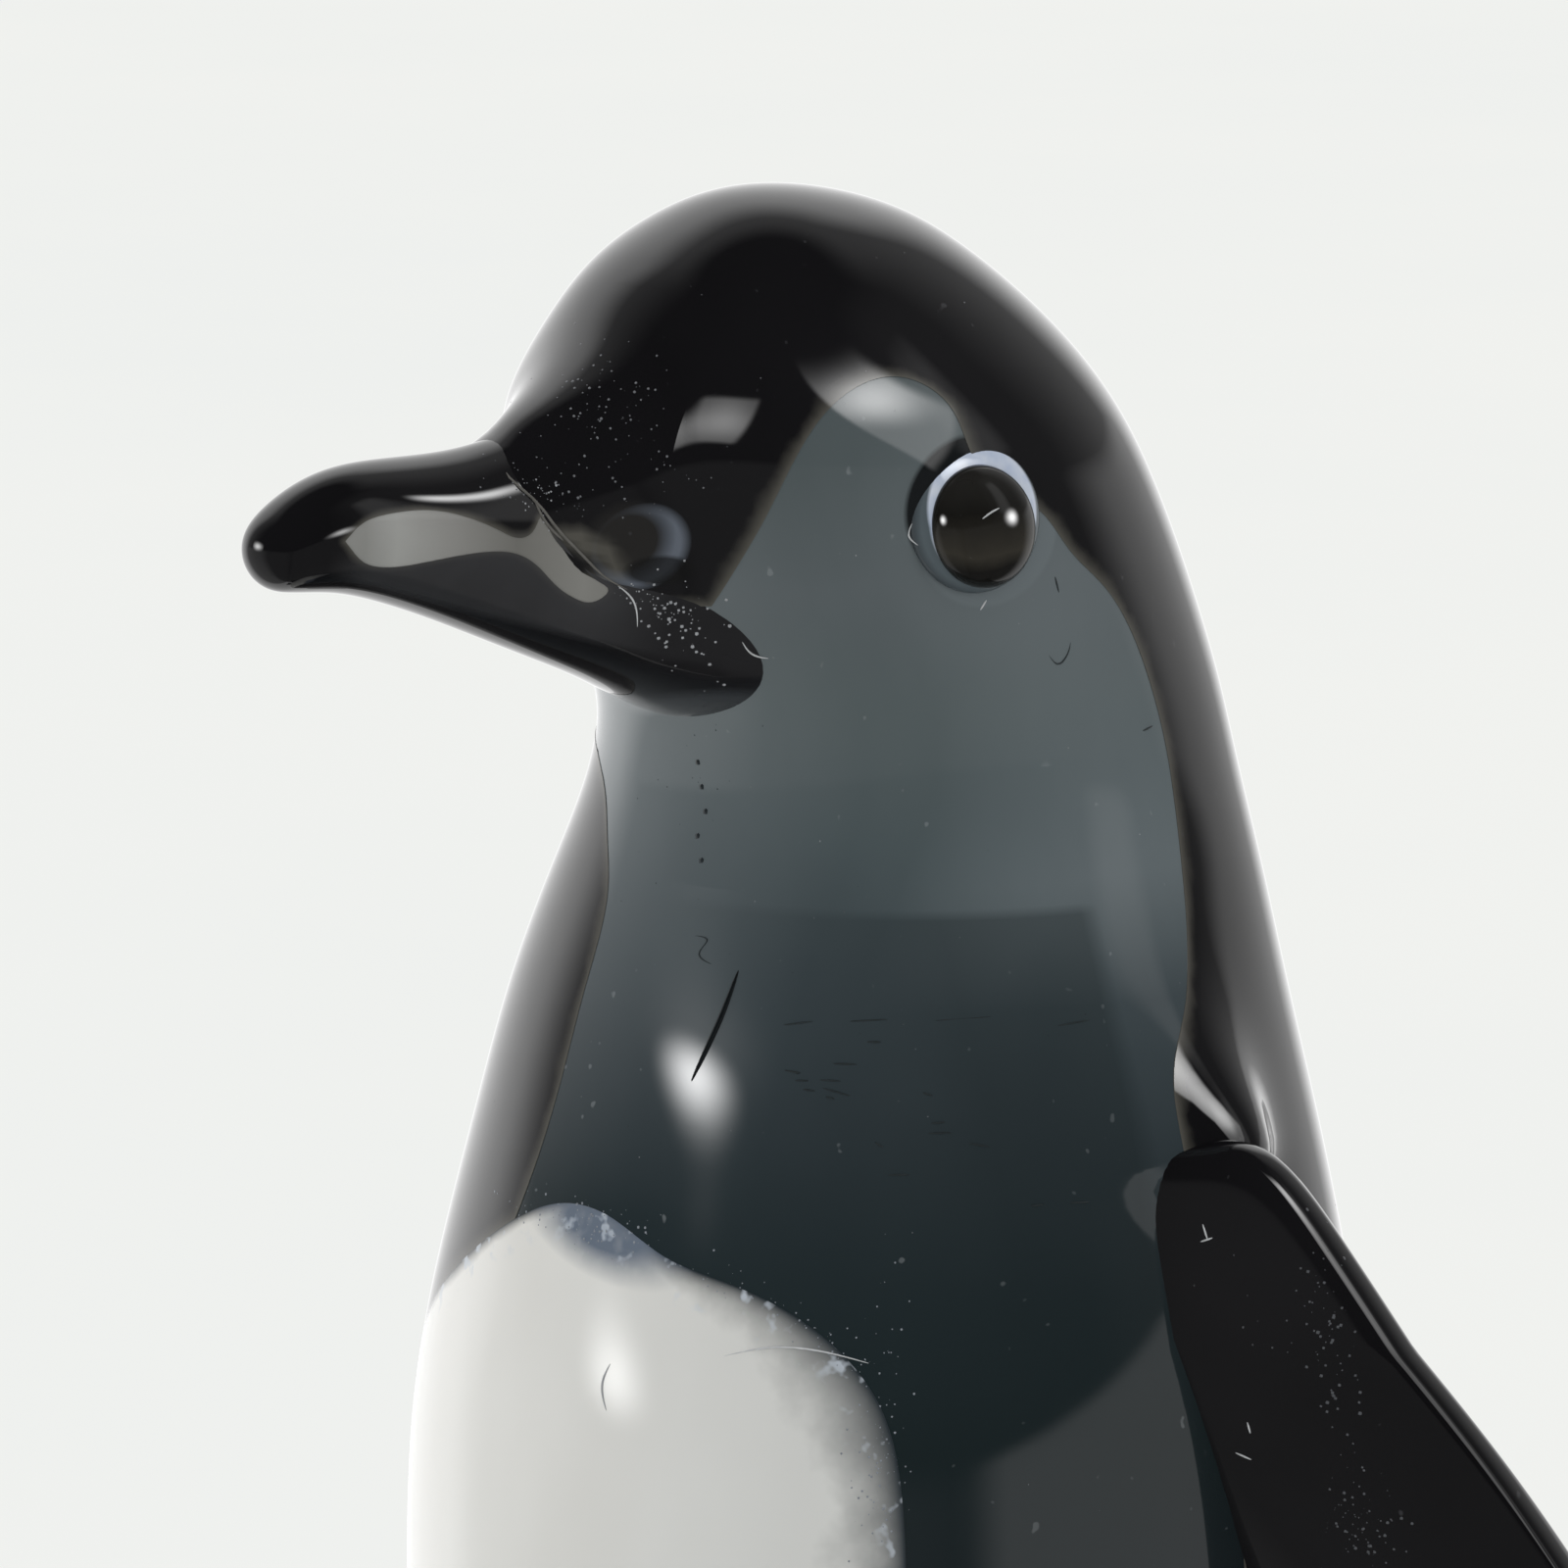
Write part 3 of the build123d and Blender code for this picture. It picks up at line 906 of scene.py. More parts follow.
    def bump(self, height: object, depth: float, strength: float) -> bpy.types.NodeSocket:
        """Slight unevenness of the surface; the depth is in millimetres."""
        node = self.add("ShaderNodeBump")
        self.feed(node, "Strength", strength)
        self.feed(node, "Distance", depth * MM)
        self.feed(node, "Height", height)
        return node.outputs[0]

    def finish(self, **inputs: object) -> bpy.types.Material:
        """Closes the finish.

        Args:
            inputs: Inputs of the surface shader, with spaces written as underscores.

        Returns:
            The material.
        """
        shader = self.add("ShaderNodeBsdfPrincipled")
        self.feed(shader, "IOR", self.GLASS_IOR)
        for key, value in inputs.items():
            self.feed(shader, key.replace("_", " "), value)
        output = self.add("ShaderNodeOutputMaterial")
        self.tree.links.new(shader.outputs[0], output.inputs["Surface"])
        return self.material


@dataclass(frozen=True)
class SlateGlass:
    """Cloudy grey glass, darker down the breast, with faint veils and flecks, and painted
    reflections and shade.
    """

    name: str = "slate_core_glass"
    top: float = 176.0
    # Height in millimetres and display colour.
    LEVELS = (
        (0, (24, 30, 33)), (84, (26, 33, 36)), (95, (28, 37, 39)), (105, (36, 45, 48)),
        (116, (52, 60, 64)), (125, (66, 75, 79)), (134, (80, 90, 93)), (142, (90, 99, 101)),
        (151, (94, 101, 104)), (159, (84, 92, 94)), (176, (80, 88, 90)),
    )

    def make(self) -> bpy.types.Material:
        """Builds the material."""
        sheet = NodeSheet(self.name)
        clouds = sheet.noise(22, 3, 0.55)
        shift = sheet.span(clouds, 0.3, 0.7, -4 * MM, 4 * MM)
        height = sheet.math("ADD", sheet.parts.outputs["Z"], shift)
        stops = [(level / self.top, colour) for level, colour in self.LEVELS]
        colour = sheet.ramp(sheet.span(height, 0.0, self.top * MM), stops)
        # Painted reflection: lighter towards the bird's right front and up the throat.
        pale = sheet.product(sheet.along("X", 14, -8), sheet.along("Z", 108, 140), 0.75)
        colour = sheet.mix(pale, colour, from_srgb(136, 142, 145))
        # Painted reflection: lighter on the bird's left flank above the breast.
        right = sheet.product(sheet.along("X", 17, 23, 0.0, 0.30), sheet.along("Z", 122, 130))
        colour = sheet.mix(right, colour, from_srgb(142, 150, 154))
        veil = sheet.noise(60, 4, 0.6, sheet.stretched((1.0, 1.0, 0.3)))
        colour = sheet.mix(sheet.span(veil, 0.35, 0.75, 0, 0.12), colour, from_srgb(20, 28, 32))
        speck = sheet.noise(900, 1, 0.5)
        colour = sheet.mix(sheet.span(speck, 0.76, 0.8, 0, 0.3), colour, from_srgb(150, 155, 158))
        colour = self.shade_below_throat_line(sheet, colour)
        colour = self.eye_edge(sheet, colour)
        return sheet.finish(
            Base_Color=colour,
            Roughness=sheet.span(clouds, 0.3, 0.7, 0.03, 0.05),
            Normal=sheet.bump(sheet.noise(14, 1, 0.4), 0.4, 0.12),
        )

    @staticmethod
    def shade_below_throat_line(sheet: NodeSheet, colour: object) -> object:
        """Painted shade: darkens the breast below the clear line under the throat, where the
        reflected light ends.
        """
        share = sheet.product(
            sheet.along("Z", 128.6, 127.9),
            sheet.along("Y", -3.6, -5.0),
            sheet.along("Y", -24, -14, 0.02, 0.48),
            sheet.along("X", 0, 6),
        )
        return sheet.mix(share, colour, from_srgb(30, 38, 40))

    @staticmethod
    def eye_edge(sheet: NodeSheet, colour: object) -> object:
        """Painted shade in the hollow above the left eye ring, and a clearer rim below it."""
        halo = sheet.mark((20.2, -10.2, 153.9), (4.9, 5.2), 20, 0.06)
        colour = sheet.mix(sheet.product(halo, 0.5), colour, from_srgb(112, 120, 124))
        # Painted shade above the ring.
        groove_shade = sheet.mark((19.5, -11.3, 155.6), (4.45, 4.7), 20, 0.08)
        return sheet.mix(groove_shade, colour, from_srgb(18, 21, 23))


@dataclass(frozen=True)
class BlackGlass:
    """Dense black glass; where it thins out to an edge it turns brown.

    It may be given that edge, the smoky lower facet of the bill, and a painted reflection that
    looks like the far eye's glow.
    """

    name: str
    edged: bool = False
    facet: bool = False
    eye_reflection: bool = False
    body: Colour = (0.0044, 0.0042, 0.0048)
    cloud_gain: float = 1.9
    rim: Colour = (0.085, 0.081, 0.070)
    rim_width: float = 1.1
    speck: Colour = (0.06, 0.06, 0.065)
    # Dark oval of the painted reflection by the bill.
    eye_reflection_dark: Colour = (0.006, 0.006, 0.006)
    # How far back the keel of the bill starts, its rise, and the level where the facet begins.
    keel_back: float = 22.9
    keel_rise: float = 0.302
    keel_level: float = 144.0

    def make(self) -> bpy.types.Material:
        """Builds the material."""
        sheet = NodeSheet(self.name)
        clouds = sheet.noise(35, 3, 0.5)
        lighter = tuple(value * self.cloud_gain for value in self.body)
        colour = sheet.mix(sheet.span(clouds, 0.35, 0.7), self.body, lighter)
        if self.edged:
            uneven = sheet.span(sheet.noise(260, 3, 0.6), 0.25, 0.75, 0.55, 1.5)
            gap = sheet.math("DIVIDE", sheet.attribute(EDGE_GAP), uneven)
            colour = sheet.mix(sheet.thinning(gap, self.rim_width, 1.6), colour, self.rim)
        if self.facet:
            colour = self.lower_facet(sheet, colour)
        if self.eye_reflection:
            colour = self.painted_eye_reflection(sheet, colour)
        speck = sheet.noise(800, 1, 0.5)
        colour = sheet.mix(sheet.span(speck, 0.78, 0.82, 0, 0.5), colour, self.speck)
        return sheet.finish(
            Base_Color=colour,
            Roughness=sheet.span(clouds, 0.3, 0.7, 0.02, 0.05),
            Normal=sheet.bump(sheet.noise(16, 1, 0.4), 0.4, 0.12),
        )

    def lower_facet(self, sheet: NodeSheet, colour: object) -> object:
        """Smoky side of the bill below its window, down to the dark keel.

        Args:
            sheet: Sheet of the material.
            colour: Colour so far.

        Returns:
            The colour with the facet on it.
        """
        back = sheet.math("ADD", sheet.parts.outputs["Y"], self.keel_back * MM)
        rise = sheet.math("ADD", sheet.parts.outputs["Z"], sheet.product(back, self.keel_rise))
        level = self.keel_level
        share = sheet.product(
            sheet.span(rise, level * MM, (level + 0.6) * MM),
            sheet.along("Z", 155.0, 153.6),
            sheet.along("Y", -52.6, -49.5),
            sheet.along("Y", -27.0, -31.5, 0.25, 1.0),
            sheet.span(sheet.noise(120, 3, 0.5), 0.3, 0.7, 0.75, 1.1),
            sheet.span(rise, level * MM, (level + 5) * MM, 0.7, 1.1),
        )
        colour = sheet.mix(share, colour, from_srgb(58, 58, 60))
        lobe = sheet.mark((7.6, -22.8, 141.2), (5.0, 1.6), 0, 0.5)
        return sheet.mix(lobe, colour, from_srgb(52, 54, 57))

    def painted_eye_reflection(self, sheet: NodeSheet, colour: object) -> object:
        """Painted reflection: milky crescent and dark oval by the bill, like the far eye seen
        through.
        """
        glow = sheet.mark((7.6, -29.8, 153.2), (3.1, 2.6), -30, 0.25)
        inner = sheet.mark((6.9, -30.4, 153.6), (2.7, 2.3), -30, 0.5)
        colour = sheet.mix(sheet.product(inner, 0.25), colour, from_srgb(64, 62, 58))
        ring = sheet.product(glow, sheet.math("SUBTRACT", 1.0, inner))
        colour = sheet.mix(ring, colour, from_srgb(96, 102, 112))
        dark = sheet.mark((8.2, -28.6, 151.6), (2.3, 1.0), 0, 0.3)
        return sheet.mix(sheet.product(dark, 0.85), colour, self.eye_reflection_dark)


@dataclass(frozen=True)
class OpalGlass:
    """White opal glass with soft streaks, bluish and clearer towards its edge."""

    name: str = "opal_belly_glass"

    def make(self) -> bpy.types.Material:
        """Builds the material."""
        sheet = NodeSheet(self.name)
        streak = sheet.noise(45, 3, 0.55, sheet.stretched((1.0, 1.0, 0.4)))
        colour = sheet.mix(
            sheet.span(streak, 0.35, 0.7), from_srgb(243, 242, 238), from_srgb(230, 228, 223)
        )
        # Painted shade: darker towards the bird's left side.
        shade = sheet.product(sheet.along("X", -16, 20), 0.6)
        colour = sheet.mix(shade, colour, from_srgb(192, 193, 191))
        wider = sheet.product(sheet.along("X", 5, 18), sheet.along("Z", 104, 95, 1.6, 4.6))
        width = sheet.math("ADD", wider, 0.9)
        uneven = sheet.span(sheet.noise(150, 4, 0.6), 0.25, 0.75, 0.6, 1.5)
        gap = sheet.math("DIVIDE", sheet.attribute(EDGE_GAP), uneven)
        thin = sheet.thinning(sheet.math("DIVIDE", gap, width), 1.0, 1.4)
        colour = sheet.mix(thin, colour, from_srgb(46, 53, 58))
        ragged = sheet.span(sheet.noise(220, 3, 0.6), 0.3, 0.6, 0.55, 1.0)
        lobe = sheet.product(sheet.mark((3.6, -30.2, 107.0), (5.4, 2.6), 16, 0.8), ragged)
        colour = sheet.mix(lobe, colour, from_srgb(104, 114, 128))
        froth = sheet.noise(700, 2, 0.6)
        near = sheet.span(gap, 0.3, 2.6, 0.8, 0.0)
        near = sheet.math("MAXIMUM", near, sheet.product(lobe, 0.6))
        dots = sheet.product(sheet.span(froth, 0.58, 0.68), near)
        colour = sheet.mix(dots, colour, from_srgb(196, 204, 214))
        return sheet.finish(
            Base_Color=colour,
            Roughness=sheet.span(streak, 0.3, 0.7, 0.03, 0.06),
            Subsurface_Weight=0.15,
            Subsurface_Radius=(0.9, 0.95, 1.0),
            Subsurface_Scale=0.003,
            Normal=sheet.bump(sheet.noise(16, 1, 0.4), 0.4, 0.25),
        )


@dataclass(frozen=True)
class SmokyGlass:
    """Smoky grey glass of the bill; painted light through its windows gives soft tones, lightest
    near the tip.
    """

    name: str = "smoky_bill_glass"
    # Share of the way from the root to the tip and display colour, partly painted light through the
    # windows.
    TONES = (
        (0.0, (128, 127, 122)), (0.19, (146, 145, 141)), (0.43, (122, 121, 117)),
        (0.67, (156, 155, 152)), (0.88, (176, 176, 173)), (1.0, (150, 150, 147)),
    )

    def make(self) -> bpy.types.Material:
        """Builds the material."""
        sheet = NodeSheet(self.name)
        clouds = sheet.noise(90, 3, 0.5)
        colour = sheet.ramp(sheet.along("Y", -29, -50), self.TONES)
        colour = sheet.mix(sheet.span(clouds, 0.35, 0.7, 0, 0.2), colour, from_srgb(120, 119, 113))
        return sheet.finish(
            Base_Color=colour,
            Roughness=sheet.span(clouds, 0.3, 0.7, 0.02, 0.05),
            Transmission_Weight=0.15,
        )


@dataclass(frozen=True)
class MilkyRingGlass:
    """Milky glass of an eye ring: a bluish white crescent above, clear grey below."""

    name: str
    centre: Place
    turn: Place
    across: float
    tall: float

    def make(self) -> bpy.types.Material:
        """Builds the material."""
        sheet = NodeSheet(self.name)
        local = sheet.moved(self.centre, self.turn, (self.across * MM, self.tall * MM, MM))
        parts = sheet.split(local)
        far = sheet.distance(parts.outputs["X"], parts.outputs["Y"])
        # The crescent is thickest towards the upper front.
        upper = sheet.product(parts.outputs["Y"], 0.86)
        lean = sheet.math("ADD", upper, sheet.product(parts.outputs["X"], 0.25))
        share = sheet.math("DIVIDE", lean, sheet.math("MAXIMUM", far, 0.2))
        reach = sheet.span(share, -0.3, 0.9, 0.80, 0.96)
        milk = sheet.span(sheet.math("SUBTRACT", far, reach), 0.02, -0.02)
        haze = sheet.noise(700, 2, 0.5)
        white = sheet.mix(haze, from_srgb(150, 168, 200), from_srgb(222, 226, 232))
        rim = sheet.mix(sheet.span(far, 0.9, 1.0), from_srgb(84, 93, 98), from_srgb(60, 66, 70))
        colour = sheet.mix(milk, rim, white)
        return sheet.finish(Base_Color=colour, Roughness=0.03)


@dataclass(frozen=True)
class BeadGlass:
    """Very dark brown glass of an eye bead, a little lighter low in the middle."""

    name: str
    centre: Place
    half_height: float = 3.2
    # Share of its height and display colour.
    TONES = (
        (0.0, (16, 15, 13)), (0.18, (50, 47, 41)), (0.40, (36, 34, 30)), (0.62, (24, 23, 21)),
        (1.0, (34, 33, 31)),
    )

    def make(self) -> bpy.types.Material:
        """Builds the material."""
        sheet = NodeSheet(self.name)
        local = sheet.moved(self.centre, (0, 0, 0), (MM, MM, self.half_height * MM))
        height = sheet.span(sheet.split(local).outputs["Z"], -1.0, 1.0)
        cloud = sheet.span(sheet.noise(260, 2, 0.5), 0.3, 0.7, -0.08, 0.08)
        colour = sheet.ramp(sheet.math("ADD", height, cloud), self.TONES)
        return sheet.finish(Base_Color=colour, Roughness=0.02)


@dataclass(frozen=True)
class SpeckGlass:
    """Pale or dark glass of a seed bubble, thread or fibre."""

    name: str
    colour: Colour
    darkest: float = 0.55

    def make(self) -> bpy.types.Material:
        """Builds the material."""
        sheet = NodeSheet(self.name)
        darker = tuple(value * self.darkest for value in self.colour)
        colour = sheet.mix(sheet.noise(1500, 1, 0.5), darker, self.colour)
        return sheet.finish(Base_Color=colour, Roughness=0.08)


# --------------------------------------------------------------------------------------------
# Sub-assemblies
# --------------------------------------------------------------------------------------------


def tall_region(
    edge: Sequence[Sequence[float]], corners: Sequence[Sequence[float]]
) -> np.ndarray:
    """Closed outline from a smooth edge and straight corners."""
    return np.concatenate([smooth_line(edge, OUTLINE_SPACING), np.asarray(corners, float)])


@dataclass
class BodyGlass:
    """Core, black mantle and white belly, with their skins flush in one smooth form."""

    form: BodyForm
    overlay: float = 2.5
    proud: float = 0.05
    # How far the right cheek laps over the middle.
    lap: float = 2.0
    # Reach of the cutters sideways, under the ground and over the crown.
    far: float = 90.0
    under: float = -20.0
    over: float = 200.0
    # Level at which the throat's cutter runs into the cheek's.
    throat_top: float = 138.0
    # Levels of the cuts between head, neck and breast, and the cut beside the middle of the brow.
    chin_level: float = 137.5
    throat_level: float = 129.3
    brow_cut: float = 8.8
    # Reach of the brow's cutter forward and back, and sideways.
    brow_reach: float = 60.0
    brow_side: float = 80.0
    # Points round and steps along the outer and the inner mesh.
    OUTER_MESH = (200, 260)
    INNER_MESH = (96, 110)
    # Edges of the grey seen from the left, as (Y, Z), down the cheek and on down the flank.
    CHEEK = (
        (-24.8, 149.0), (-24.0, 154.6), (-22.2, 159.9), (-18.2, 163.6), (-14.4, 164.1),
        (-12.0, 162.2), (-11.2, 159.0), (-8.6, 156.4), (-5.6, 154.6), (-3.2, 151.9),
        (-0.1, 149.3),
    )
    LEFT_FLANK = (
        (3.9, 143.6), (5.4, 138.5), (4.6, 130.0), (1.7, 121.8), (-1.2, 118.0), (-2.3, 112.0),
        (-1.0, 100.0), (1.0, 60.0), (0.0, -20.0),
    )
    # The edge of the right cheek runs back under the bill.
    CHEEK_RETURN = ((1.2, 145.6), (-2.6, 141.6), (-10.5, 138.3), (-17.9, 135.9))
    # Edges seen from the front, as (X, Z).
    THROAT = (
        (-11.1, 135.9), (-8.2, 134.1), (-5.9, 131.2), (-3.8, 128.0), (-3.1, 122.2),
        (-3.4, 115.6), (-4.8, 108.9), (-8.2, 100.0),
    )
    BELLY = (
        (14.0, -20.0), (20.6, 12.0), (24.2, 36.0), (26.0, 62.0), (25.8, 84.0), (25.0, 91.8),
        (23.2, 97.3), (19.7, 101.4), (14.7, 104.0), (9.0, 105.5), (3.6, 107.6), (-0.8, 107.7),
        (-5.2, 106.1), (-13.3, 101.2), (-22.0, 93.9), (-25.4, 84.0), (-26.0, 62.0),
        (-24.2, 36.0), (-20.6, 12.0), (-14.0, -20.0),
    )

    def flank_cut(self) -> bmesh.types.BMesh:
        """Grey part of the left side."""
        corners = ((-self.far, self.under), (-self.far, self.CHEEK[0][1]))
        return prism(tall_region(self.CHEEK + self.LEFT_FLANK, corners), SIDE_VIEW, 0, self.far)

    def cheek_cut(self) -> bmesh.types.BMesh:
        """Grey part of the right cheek, lapping over the middle."""
        low, high = self.CHEEK_RETURN[-1][1], self.CHEEK[0][1]
        corners = ((-self.far, low), (-self.far, high))
        outline = tall_region(self.CHEEK + self.CHEEK_RETURN, corners)
        return prism(outline, SIDE_VIEW, -self.far, self.lap)

    def throat_cut(self) -> bmesh.types.BMesh:
        """Grey part of the throat right of the middle."""
        low, top = self.THROAT[-1][1], self.throat_top
        corners = ((self.lap, low), (self.lap, top), (self.THROAT[0][0], top))
        return prism(tall_region(self.THROAT, corners), FRONT_VIEW, 0, self.far)

    def belly_cut(self) -> bmesh.types.BMesh:
        """White part of the front."""
        return prism(smooth_line(self.BELLY, OUTLINE_SPACING), FRONT_VIEW, 0, self.far)

    def band(self, low: float, high: float) -> bmesh.types.BMesh:
        """Core between two levels, in millimetres."""
        bm = self.form.ball(*self.OUTER_MESH)
        cut_level(bm, low, -1)
        cut_level(bm, high, 1)
        return bm

    def beside_brow(self) -> bmesh.types.BMesh:
        """All that lies to the left of the cut beside the middle of the brow."""
        wide = self.brow_reach
        outline = ((-wide, self.under), (wide, self.under), (wide, self.over), (-wide, self.over))
        return prism(np.array(outline), SIDE_VIEW, self.brow_cut, self.brow_side)

    def skin(self) -> tuple[bmesh.types.BMesh, bmesh.types.BMesh]:
        """Outer form, a hair proud of the core, and the form under the overlays."""
        outer = self.form.ball(*self.OUTER_MESH, self.proud)
        return outer, self.form.ball(*self.INNER_MESH, -self.overlay)

    def build(self) -> Pieces:
        """Makes the six pieces.

        Returns:
            The objects by name.
        """
        slate = SlateGlass().make()
        chin, throat = self.chin_level, self.throat_level
        core = (
            Piece("slate_head", self.band(chin, self.over), slate, Slot.SLATE),
            Piece("slate_neck", self.band(throat, chin), slate, Slot.SLATE),
            Piece("slate_breast", self.band(self.under, throat), slate, Slot.SLATE, ("body_core",)),
        )
        outer, inner = self.skin()
        cuts = (inner, self.flank_cut(), self.cheek_cut(), self.throat_cut(), self.belly_cut())
        mantle = Solver.carve(outer, [("DIFFERENCE", cut) for cut in cuts])
        outer, inner = self.skin()
        belly = Solver.carve(outer, [("DIFFERENCE", inner), ("INTERSECT", self.belly_cut())])
        black = BlackGlass("black_mantle_glass", edged=True, eye_reflection=True).make()
        brow = Solver.carve(mantle.copy(), [("DIFFERENCE", self.beside_brow())])
        mantle = Solver.carve(mantle, [("INTERSECT", self.beside_brow())])
        skins = (
            Piece("black_mantle", mantle, black, Slot.BLACK, ("back_mantle",)),
            Piece("black_brow", brow, black, Slot.BLACK),
            Piece("opal_belly", belly, OpalGlass().make(), Slot.OPAL, ("belly_patch",)),
        )
        made = {piece.name: piece.settle(self.form) for piece in core}
        for piece in skins:
            made[piece.name] = piece.settle(self.form, self.proud, self.brow_cut)
        return made


@dataclass
class Bill:
    """Smoky bill under a black overlay with a window in each side."""

    form: BillForm
    overlay: float = 0.9
    proud: float = 0.05
    rim_width: float = 0.5
    # Reach of the window's cutter to each side, and the spacing of its outline's points.
    half_cut: float = 40.0
    outline_spacing: float = 0.3
    # Points round and steps along the outer and the inner mesh.
    OUTER_MESH = (120, 160)
    INNER_MESH = (64, 80)
    # Closed edge of the window seen from the left, as (Y, Z).
    WINDOW = (
        (-51.5, 155.4), (-50.4, 156.3), (-47.7, 156.9), (-44.5, 156.8), (-41.5, 156.0),
        (-39.3, 155.0), (-37.8, 154.4), (-36.6, 154.9), (-36.0, 155.6), (-35.4, 154.6),
        (-33.4, 152.4), (-31.9, 151.0), (-31.2, 150.4), (-31.9, 149.7), (-33.3, 149.9),
        (-35.1, 151.1), (-36.7, 152.6), (-38.2, 153.4), (-40.2, 153.7), (-43.2, 153.6),
        (-45.4, 153.4), (-47.6, 153.3), (-50.0, 153.9), (-51.5, 155.4),
    )

    def build(self) -> Pieces:
        """Makes the core and its overlay.

        Returns:
            The objects by name.
        """
        smoky = SmokyGlass().make()
        core = Piece(
            "bill_glass", self.form.ball(*self.OUTER_MESH), smoky, Slot.SMOKY, ("bill_core",)
        )
        edge = smooth_line(self.WINDOW, self.outline_spacing)[:-1]
        window = prism(edge, SIDE_VIEW, -self.half_cut, self.half_cut)
        inner = self.form.ball(*self.INNER_MESH, -self.overlay)
        outer = self.form.ball(*self.OUTER_MESH, self.proud)
        cover = Solver.carve(outer, [("DIFFERENCE", inner), ("DIFFERENCE", window)])
        black = BlackGlass("black_bill_glass", edged=True, facet=True, rim_width=self.rim_width)
        overlay = Piece("bill_cover", cover, black.make(), Slot.BLACK, ("bill_overlay",))
        return {
            core.name: core.settle(self.form),
            overlay.name: overlay.settle(self.form, self.proud),
        }


@dataclass
class Eye:
    """Black bead pressed on a milky ring."""

    side: Side
    seat: Place = (19.3, -10.8, 154.7)
    forward_turn: float = 11.0
    upward_tilt: float = 7.0
    lean: float = 20.0
    bead_sizes: Place = (4.15, 3.85, 2.2)
    bead_rise: float = 1.0
    bead_drop: float = 0.55
    ring_sizes: Place = (5.0, 5.0, 1.6)
    MESH = (72, 48)

    def pressed(self, sizes: Place, drop: float = 0.0, rise: float = 0.0) -> bmesh.types.BMesh:
        """Ball of glass on its seat.

        Args:
            sizes: Its half height, half width and half depth, in millimetres.
            drop: How far it lies down from the seat.
            rise: How far it stands out from it.

        Returns:
            The ball.
        """
        turn = Matrix.Rotation(math.radians(-self.forward_turn), 4, "Z")
        tilt = Matrix.Rotation(math.radians(90 - self.upward_tilt), 4, "Y")
        lean = Matrix.Rotation(math.radians(self.lean), 4, "Z")
        inner = Matrix.Translation((drop, 0, rise)) @ lean @ Matrix.Diagonal((*sizes, 1.0))
        seat = Matrix.Translation(self.seat) @ turn @ tilt @ inner
        return glass_ball(mirror(self.side) @ seat, *self.MESH)

    def build(self) -> Pieces:
        """Makes the bead and the ring.

        Returns:
            The objects by name.
        """
        word = self.side.name.lower()
        sign = self.side.value
        centre = (self.seat[0] * sign, self.seat[1], self.seat[2])
        tall, across = self.ring_sizes[:2]
        facing = (90, 0, (90 - self.forward_turn) * sign)
        bead_glass = BeadGlass(f"bead_glass_{word}", centre).make()
        ring_glass = MilkyRingGlass(f"ring_glass_{word}", centre, facing, across, tall).make()
        bead = self.pressed(self.bead_sizes, self.bead_drop, self.bead_rise)
        ring = self.pressed(self.ring_sizes)
        pieces = (
            Piece(f"bead_{word}", bead, bead_glass, Slot.BLACK, (f"eye_bead_{word}",)),
            Piece(f"ring_{word}", ring, ring_glass, Slot.MILKY, (f"eye_ring_{word}",)),
        )
        return {piece.name: piece.settle() for piece in pieces}


@dataclass
class Flipper:
    """Black flipper, fused along its root to the side."""

    side: Side
    MESH = (112, 120)

    def build(self) -> Pieces:
        """Makes the flipper.

        Returns:
            The object by name.
        """
        word = self.side.name.lower()
        black = BlackGlass(f"black_wing_glass_{word}").make()
        wing = FlipperForm(self.side).ball(*self.MESH)
        piece = Piece(f"wing_{word}", wing, black, Slot.BLACK, (f"flipper_{word}",))
        return {piece.name: piece.settle()}


@dataclass
class Foot:
    """Pressed foot with three toes."""

    side: Side
    width: float = 19.2
    length: float = 26.0
    thickness: float = 8.0
    toe_sizes: Place = (7.2, 16.0, 5.0)
    toe_reach: float = 10.53
    toe_spread: float = 30.0
    place: tuple[float, float] = (13.5, -22.0)
    turn: float = 12.0
    MESH = (48, 32)

    def bit(self, sizes: Place, matrix: Matrix) -> bmesh.types.BMesh:
        """Rounded bit of glass with half of it under the ground."""
        size = Matrix.Diagonal((sizes[0] / 2, sizes[1] / 2, sizes[2], 1.0))
        return glass_ball(mirror(self.side) @ matrix @ size, *self.MESH)

    def build(self) -> Pieces:
        """Makes the foot.

        Returns:
            The object by name.
        """
        spot = Matrix.Translation((*self.place, 0))
        spot = spot @ Matrix.Rotation(math.radians(self.turn), 4, "Z")
        toes = []
        for angle in (-self.toe_spread, 0.0, self.toe_spread):
            turn = Matrix.Rotation(math.radians(angle), 4, "Z")
            step = Matrix.Translation((0, -self.toe_reach, 0))
            toes.append(("UNION", self.bit(self.toe_sizes, spot @ turn @ step)))
        bm = Solver.carve(self.bit((self.width, self.length, self.thickness), spot), toes)
        cut_level(bm, 0, -1)
        bmesh.ops.recalc_face_normals(bm, faces=bm.faces)
        word = self.side.name.lower()
        black = BlackGlass(f"black_foot_glass_{word}").make()
        piece = Piece(f"webbed_foot_{word}", bm, black, Slot.BLACK, (f"foot_{word}",))
        return {piece.name: piece.settle()}


